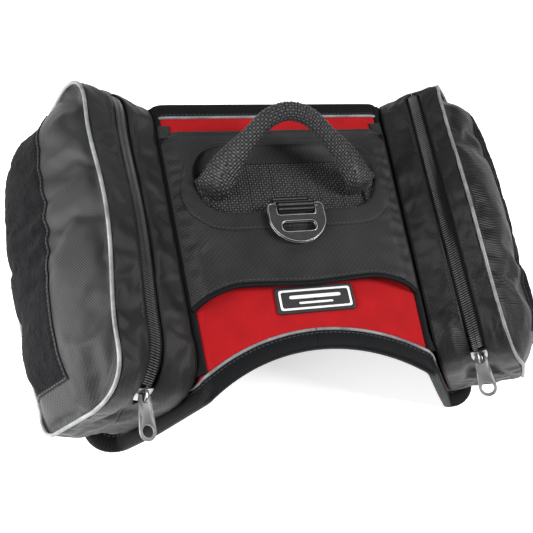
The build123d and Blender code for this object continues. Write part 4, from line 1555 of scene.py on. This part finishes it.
def bulge(points, outward, is_wall, sewn):
    """A smooth first swell, which the simulation then settles and creases."""
    y, z = points[:, 1], points[:, 2]
    low, high = np.array([face_range(v) for v in y]).T
    across = np.clip(np.minimum(z - low, high - z) / 30.0, 0, 1)
    along = np.clip((HALF_LENGTH - np.abs(y)) / np.where(y > 0, filling["end"], 36.0), 0, 1)
    dome = np.sin(across * pi / 2) ** 0.8 * np.sin(along * pi / 2) ** 0.8
    new = points.copy()
    new[:, 0] += np.where(is_wall, outward * 0.72 * FACE_SWELL * dome, 0)
    new[sewn] = points[sewn]
    return new


def bag_half(name, side, seed):
    """Cloth of the lid or of the back, as points and quads in the side frame."""
    lid = name == "lid"
    x_from = FACE_X if lid else BAG_X + 0.2
    to_zip = CHAIN_X + (ZIP_HALF_GAP if lid else -ZIP_HALF_GAP)
    past_zip = CHAIN_X + (0.1 if lid else -0.1)
    steps = 8
    points, quads, sewn = cloth_shell(x_from, to_zip, past_zip, steps, with_bottom=not lid)
    outward = 1 if lid else -1
    if not lid:
        quads = quads[:, ::-1]
    is_wall = np.arange(len(points)) < len(face_columns()) * 36
    if lid:
        points = bulge(points, outward, is_wall, sewn)
        points[~sewn] += 0.35 * ripple(points[~sewn], 11.0, seed)[:, None]
    else:
        sewn = sewn | is_wall
    swell = np.where(is_wall, FACE_SWELL * 0.75, GUSSET_SWELL)
    points = blow_up(f"{side}_{name}_sim", points, quads, sewn, outward, swell)
    shape = {"points": points, "quads": quads, "uvs": points[quads][:, :, 1:]}
    return shape, sewn


def bag_floor():
    """The rest of the bag's bottom, from the middle seam out to the face's lower edge."""
    rim = face_grid(BAG_X, False).reshape(-1, 3)[border(84, 36)]
    reach = HALF_LENGTH - BOTTOM_RADIUS
    base = rim[(rim[:, 2] < -BAG_HEIGHT + 1) & (np.abs(rim[:, 1]) < reach + 3)]
    base = base[np.argsort(base[:, 1])]
    start = CHAIN_X - 0.1
    rows = [rim_at(start + (FACE_X - 1.8 - start) * k / 9, base) for k in range(10)]
    grid = np.stack(rows, 1)
    hang = np.sin(pi * np.linspace(0, 1, 10)) * smoothstep((reach + 3 - np.abs(base[:, 1])) / 12.0)[:, None]
    grid[..., 2] -= GUSSET_SWELL * 0.45 * hang
    return lattice(grid, (False, False))


def dress_cloth(obj, thick=CLOTH_THICK):
    """Smooths a piece of cloth once and gives it thickness on its inner side."""
    smooth = obj.modifiers.new("smooth", "SUBSURF")
    smooth.levels = smooth.render_levels = 1
    solid = obj.modifiers.new("cloth", "SOLIDIFY")
    solid.thickness = thick * MM
    solid.offset = -1


def bag_rim_path(x, out=0.0, step=1.5):
    """The bag's rim at a depth, from the tail's bottom over the top to the neck's bottom."""
    flat = face_grid(BAG_X, False).reshape(-1, 3)[border(84, 36)]
    path = rim_at(x, flat)
    normal = np.column_stack([np.zeros(len(path)), edge_normals(path[:, 1:])])
    centre = np.array([x, 0, -BAG_HEIGHT / 2])
    if np.mean(np.sum(normal * (path - centre), axis=1)) < 0:
        normal = -normal
    return path + normal * out, normal


def zip_route(x, drop=0.0, neck_low=ZIP_END_LOW, tail_low=ZIP_START_LOW, step=0.8):
    """The chain's line over the bag, from its tail end to its neck end, with its normals."""
    path, normal = bag_rim_path(x, -drop)
    on = ((path[:, 1] < 0) & (path[:, 2] > -neck_low - drop)) | (
        (path[:, 1] >= 0) & (path[:, 2] > -tail_low - drop)
    )
    order = np.argsort(-np.arctan2(path[:, 2] + 60, path[:, 1]) * -1)
    keep = [k for k in order if on[k]]
    points, normals = path[keep], normal[keep]
    if points[0, 1] < points[-1, 1]:
        points, normals = points[::-1], normals[::-1]
    fine = resample(points, step)
    at, want = arc_lengths(points), arc_lengths(fine)
    up = np.stack([np.interp(want, at, normals[:, k]) for k in range(3)], 1)
    return fine, up / np.linalg.norm(up, axis=1)[:, None]


def make_teeth(side, place, row):
    """One coil of the zip: a rounded wire loop for each tooth."""
    pitch = 1.64
    sign = 1 if row == "lid" else -1
    neck_low = TOP_RADIUS * (1 - cos(radians(SLIDER_ANGLE - 9 if row == "lid" else ZIP_END_ANGLE - 2)))
    path, up = zip_route(CHAIN_X, 0.9, neck_low=neck_low)
    at = arc_lengths(path)
    want = np.arange(0.8, at[-1] - 0.5, pitch)
    centres = np.stack([np.interp(want, at, path[:, k]) for k in range(3)], 1)
    ups = np.stack([np.interp(want, at, up[:, k]) for k in range(3)], 1)
    ups /= np.linalg.norm(ups, axis=1)[:, None]
    out = np.tile(np.array([[sign, 0.0, 0.0]]), (len(centres), 1))
    along = np.cross(ups, out)
    along /= np.linalg.norm(along, axis=1)[:, None]
    tooth = capsule(3.5, 0.86, 1.5, rings=8, around=8)
    head = capsule(1.0, 0.98, 1.75, rings=5, around=8)
    head["points"] = head["points"] - (1.55, 0, 0)
    slant = out + 0.3 * along
    slant /= np.linalg.norm(slant, axis=1)[:, None]
    along = np.cross(ups, slant)
    shape = scatter(join(tooth, head), centres + slant * 2.1, slant, along, ups)
    bodies = {"lid": f"{side}_lid", "inner": f"{side}_side"}
    piece(
        f"{side}_zip_teeth_{row}", shape, place, LOOKS["coil"], bodies[row], "zip_coil",
        [f"{side}_zip_coil_{row}"]
    )


def make_tape(side, place, row):
    """The woven tape beside one coil, its cord edge under the teeth, and the cloth's welt."""
    sign = 1 if row == "lid" else -1
    body = f"{side}_lid" if row == "lid" else f"{side}_side"
    neck_low = TOP_RADIUS * (1 - cos(radians(SLIDER_ANGLE - 9 if row == "lid" else ZIP_END_ANGLE)))
    x = CHAIN_X + sign * 3.35
    path, up = zip_route(x, 1.25, neck_low=neck_low)
    shape = sweep(path, up, pillow_section(3.3, 0.4, 12, 4))
    piece(
        f"{side}_zip_tape_{row}_woven", shape, place, LOOKS["tape"], body, "zip_tape",
        [f"{side}_zip_tape_{row}"]
    )
    x = CHAIN_X + sign * (ZIP_HALF_GAP + 1.1)
    path, up = zip_route(x, -0.15, neck_low=TOP_RADIUS * (1 - cos(radians(ZIP_END_ANGLE - 3))))
    shape = sweep(path, up, pillow_section(1.6, 0.75, 12, 2.4))
    piece(f"{side}_zip_welt_{row}", shape, place, LOOKS[f"{side}_nylon"], body, "nylon")
    path, up = zip_route(x + sign * 0.5, -0.85, neck_low=TOP_RADIUS * (1 - cos(radians(ZIP_END_ANGLE - 3))))
    shape = stitch_row(path, (path, up))
    piece(f"{side}_zip_stitches_{row}", shape, place, LOOKS["thread"], body, "nylon")


def corner_point(x, radius, angle):
    """A point about the neck-end corner's axis; the angle is from the top, in degrees."""
    a = np.radians(angle)
    x, radius, a = np.broadcast_arrays(x, radius, a)
    return np.stack([x, CORNER_Y - radius * np.sin(a), CORNER_Z + radius * np.cos(a)], -1)


def make_slider(side, place):
    """Two domed plates with curled sides, and the bridge that holds the pull."""
    shapes = []
    spread = 9.0
    u = np.linspace(-1, 1, 13)
    v = np.linspace(-1, 1, 13)
    gu, gv = np.meshgrid(u, v, indexing="ij")
    half = 5.6 * (1 - 0.22 * smoothstep((gu + 0.1) / 1.1)) * np.sqrt(
        np.clip(1 - 0.16 * np.abs(gu) ** 4, 0, 1)
    )
    x = CHAIN_X + half * gv
    angle = SLIDER_ANGLE + spread * gu
    dome = 0.5 * (1 - gv**2)
    top = corner_point(x, 35.1 + dome, angle)
    under = corner_point(x, 34.4 + 0 * dome, angle)
    shapes.append(slab(top, under))
    shapes.append(slab(corner_point(x, 31.6 + 0 * dome, angle), corner_point(x, 30.6 - 0.3 * dome, angle)))
    for sign in (-1, 1):
        edge = CHAIN_X + sign * half[:, -1]
        path = corner_point(edge - sign * 0.3, 34.3, SLIDER_ANGLE + spread * u)
        shapes.append(sweep(path, np.array([1.0, 0, 0]), pillow_section(0.75, 0.55, 10)))
    bridge = np.array([(-7.0, 35.0), (-5.4, 37.6), (-2.0, 39.9), (1.5, 40.2), (4.4, 38.8), (5.6, 35.2)])
    line = spline(bridge, 26)
    path = corner_point(CHAIN_X, line[:, 1], SLIDER_ANGLE + line[:, 0])
    shapes.append(sweep(path, np.array([1.0, 0, 0]), pillow_section(0.75, 1.5, 12, 3)))
    for low, high in ((31.3, 32.1), (34.3, 35.0)):  # the post's feet, clear of the chain between them
        foot = corner_point(CHAIN_X + 1.9, np.linspace(low, high, 4), SLIDER_ANGLE + 6.8)
        shapes.append(sweep(foot, np.array([1.0, 0, 0]), pillow_section(0.9, 0.8, 10)))
    piece(
        f"{side}_zip_slider_cast", join(*shapes), place, LOOKS["nickel"], f"{side}_slider", "zip_metal",
        [f"{side}_zip_slider"]
    )


def pull_outline(count):
    """The pull tab's outline round its hole: narrow at the pin, broad and round at the end."""
    half_top, half_end, length = 4.2, 5.8, 25.4
    hole_y = half_end - length
    side = [(half_top, 0.8), (half_top + 0.4, -6.0), (half_end - 0.5, -13.0), (half_end, -18.0)]
    end = arc((0, hole_y), half_end, 0, -180, 20)
    right = np.array(side)
    loop = np.vstack(
        [right, end, right[::-1] * (-1, 1), arc((0, 0.8), half_top, 180, 0, 12)[1:-1] * (1, 0.5) + (0, 0.4)]
    )
    dense = resample(loop, 0.25, closed=True) - (0, hole_y)
    angle = np.mod(np.arctan2(dense[:, 1], dense[:, 0]), 2 * pi)
    order = np.argsort(angle)
    want = np.linspace(0, 2 * pi, count, endpoint=False)
    radius = np.interp(want, angle[order], np.linalg.norm(dense, axis=1)[order], period=2 * pi)
    return np.stack([np.cos(want), np.sin(want)], 1) * radius[:, None], np.array([0, hole_y]), want


def make_pull(side, place):
    """A cast tab with a raised rim, a sunk middle and an oval hole."""
    count = 120
    outer, hole_at, want = pull_outline(count)
    hole = np.stack([3.9 * np.cos(want), 3.6 * np.sin(want)], 1)
    thick = 0.75
    size = np.linalg.norm(outer, axis=1)[:, None]
    gap = size - np.linalg.norm(hole, axis=1)[:, None]
    direction = outer / size

    def ring(distance, high):
        flat = hole + direction * np.clip(distance, 0, gap)
        return np.column_stack([flat, np.full(count, high)])

    inner = [ring(0 * gap, 0.45), ring(0 * gap + 0.2, thick), ring(0 * gap + 0.5, thick)]
    sunk = [ring(0 * gap + 0.7, 0.58), ring(gap * 0.5, 0.58), ring(gap - 0.85, 0.58)]
    rim = [ring(gap - 0.65, thick), ring(gap - 0.25, thick), ring(gap, 0.45)]
    upper = inner + sunk + rim
    lower = [r * (1, 1, -1) for r in upper[::-1]]
    grid = np.array(upper + lower)
    tilt = radians(PULL_LEAN)
    flat = grid + (*hole_at, 0)
    pin = corner_point(CHAIN_X, PULL_PIN_RADIUS, SLIDER_ANGLE)
    points = np.stack(
        [
            flat[..., 0] + pin[0],
            pin[1] - (flat[..., 2] * cos(tilt)) + flat[..., 1] * sin(tilt),
            pin[2] + flat[..., 1] * cos(tilt) + flat[..., 2] * sin(tilt),
        ],
        -1,
    )
    shape = lattice(points, (True, True))
    piece(
        f"{side}_pull_tab_cast", shape, place, LOOKS["pull"], f"{side}_pull", "zip_metal",
        [f"{side}_pull_tab"], sharp=60.0
    )


def make_piping(side, place):
    path, _ = bag_rim_path(FACE_X + 0.6, 0.35)
    path = resample(path, 1.6, closed=True)
    ups = np.tile(np.array([1.0, 0, 0]), (len(path), 1))
    shape = sweep(path, ups, round_section(1.25, 12), closed=True)
    piece(
        f"{side}_face_piping_sewn", shape, place, LOOKS["reflective"], f"{side}_lid", "reflective",
        [f"{side}_face_piping"]
    )
    path, _ = bag_rim_path(BAG_X + 0.9, 0.2)
    path = resample(path, 1.6, closed=True)
    shape = sweep(path, np.array([1.0, 0, 0]), pillow_section(1.3, 1.1, 12), closed=True)
    piece(
        f"{side}_seam_binding_sewn", shape, place, LOOKS["binding"], f"{side}_side", "binding",
        [f"{side}_seam_binding"]
    )


def make_patch(side, place, lid):
    """The pile patch, laid on the swollen face, with a flat stitched border."""
    graph = bpy.context.evaluated_depsgraph_get()
    tree = BVHTree.FromObject(lid, graph)
    sign = place[1]
    step = 1.0
    y = np.arange(PATCH_Y[0], PATCH_Y[1] + 0.01, step)
    z = np.arange(PATCH_Z[0], PATCH_Z[1] + 0.01, step)
    gy, gz = np.meshgrid(y, z, indexing="ij")
    x = np.zeros_like(gy)
    for i in range(len(y)):
        for j in range(len(z)):
            hit = tree.ray_cast(Vector((sign * 100, gy[i, j], gz[i, j])) * MM, Vector((-sign, 0, 0)))
            x[i, j] = abs(hit[0].x) / MM if hit[0] else FACE_X
    edge = np.minimum.reduce([gy - PATCH_Y[0], PATCH_Y[1] - gy, gz - PATCH_Z[0], PATCH_Z[1] - gz])
    fuzz = ripple(np.stack([gy, gz], -1), 1.7, 4.0) + 0.8 * ripple(np.stack([gy, gz], -1), 5.0, 9.0)
    inside = smoothstep((edge - 2.4) / 1.2)
    high = 0.75 + (0.5 + 0.38 * fuzz) * inside
    top = np.stack([x + high, gy, gz], -1)
    bottom = np.stack([x - 0.35, gy, gz], -1)
    shape = slab(top, bottom)
    obj = piece(
        f"{side}_loop_patch_pile", shape, place, LOOKS["pile"], f"{side}_lid", "hook_and_loop",
        [f"{side}_loop_patch"], sharp=80.0
    )
    obj.data.materials.append(LOOKS["tape"])
    middle = shape["points"][shape["quads"]].mean(1)
    rim = np.minimum.reduce(
        [
            middle[:, 1] - PATCH_Y[0], PATCH_Y[1] - middle[:, 1], middle[:, 2] - PATCH_Z[0],
            PATCH_Z[1] - middle[:, 2]
        ]
    )
    marks = (rim < 2.5).astype(np.int32)
    if len(marks) == len(obj.data.polygons):
        obj.data.polygons.foreach_set("material_index", marks)
    inset = 1.3
    corners = np.array(
        [
            (PATCH_Y[0] + inset, PATCH_Z[0] + inset), (PATCH_Y[1] - inset, PATCH_Z[0] + inset),
            (PATCH_Y[1] - inset, PATCH_Z[1] - inset), (PATCH_Y[0] + inset, PATCH_Z[1] - inset)
        ]
    )
    row = resample(corners, 3.1, closed=True)
    iy = np.clip(np.round((row[:, 0] - PATCH_Y[0]) / step).astype(int), 0, len(y) - 1)
    iz = np.clip(np.round((row[:, 1] - PATCH_Z[0]) / step).astype(int), 0, len(z) - 1)
    path = np.column_stack([x[iy, iz] + 0.8, row])
    piece(
        f"{side}_patch_stitches", stitch_row(path, np.array([1.0, 0, 0]), closed=True), place,
        LOOKS["thread"], f"{side}_lid", "hook_and_loop"
    )


def make_bag(side, seed):
    place = SIDES[side]
    filling.update(FILLINGS[side])
    # each bag takes its own side's nylon copy: painted light on the left bag, painted shade on the right
    for name in ("back", "lid"):
        shape, _ = bag_half(name, side, seed)
        body = f"{side}_lid" if name == "lid" else f"{side}_side"
        obj = piece(
            f"{side}_bag_{name}_cloth",
            shape,
            place,
            LOOKS[f"{side}_nylon"],
            body,
            "nylon",
            [f"{side}_bag_{name}"],
            sharp=65.0,
            mend=False,
        )
        dress_cloth(obj)
        bpy.context.view_layer.update()
        if name == "lid":
            make_patch(side, place, obj)
    floor = piece(
        f"{side}_bag_floor_cloth", bag_floor(), place, LOOKS[f"{side}_nylon"], f"{side}_side", "nylon", mend=False
    )
    dress_cloth(floor)
    for row in ("inner", "lid"):
        make_teeth(side, place, row)
        make_tape(side, place, row)
    make_slider(side, place)
    make_pull(side, place)
    make_piping(side, place)
    dress_node(f"{side}_zip_end_stop", LOOKS["nickel"], 0.2)
    for pads in ("loop_pads", "hook_pads"):
        dress_node(f"{side}_{pads}", LOOKS["pile"], 0.5)


def make_end_tag():
    """A folded reflective tag in the right bag's end seam."""
    x0, length, wide, low = CHAIN_X + 8, 7.0, 10.0, -BAG_HEIGHT * 0.72
    fold = np.array([(0.5, 1.5), (-3, 1.45), (-6.2, 1.3), (-6.9, 0.8), (-6.2, 0.3), (-3, 0.15), (0.5, 0.1)])
    line = spline(fold, 40)
    path = np.column_stack([np.full(len(line), x0 + wide / 2), line[:, 0] - HALF_LENGTH, line[:, 1] + low])
    t = tangents(path)
    up = np.cross(np.tile([1.0, 0, 0], (len(path), 1)), t)
    shape = sweep(path, up, pillow_section(wide / 2, 0.28, 12, 5))
    piece(
        "right_end_tag_sewn", shape, SIDES["right"], LOOKS["reflective"], "right_lid", "reflective",
        ["right_end_tag"]
    )


def make_fold_strips():
    """The bound strip that closes the gap between panel and bag, bending at the fold."""
    for side in ("right", "left"):
        s = np.arange(-101.0, 104.01, 2.0)
        profile = np.array(
            [
                (-1.4, 2.1), (-1.6, 3.0), (-0.9, 4.0), (0.3, 4.8), (1.6, 5.4), (2.9, 5.7), (4.1, 5.6),
                (4.7, 3.2), (3.4, 2.6), (1.2, 2.2)
            ]
        )
        uneven = 0.25 * ripple(np.column_stack([s, s * 0]), 16.0, 2.2)
        grid = over_fold(
            profile[None, :, 0] + 0 * s[:, None], s[:, None], profile[None, :, 1] + uneven[:, None]
        )
        fold_piece(f"{side}_fold_strip", tube(grid), side, LOOKS["binding"], "binding")


make_camera()
make_studio()
make_vest()
make_panel()
make_corner_tabs()
make_strap()
make_handle()
make_ring_tab()
make_label()
make_fold_strips()
dress_node("d_ring", LOOKS["black_metal"], 0.5)
make_ring_highlights()
for bag_side, bag_seed in (("left", 2.0), ("right", 7.0)):
    make_bag(bag_side, bag_seed)
make_end_tag()
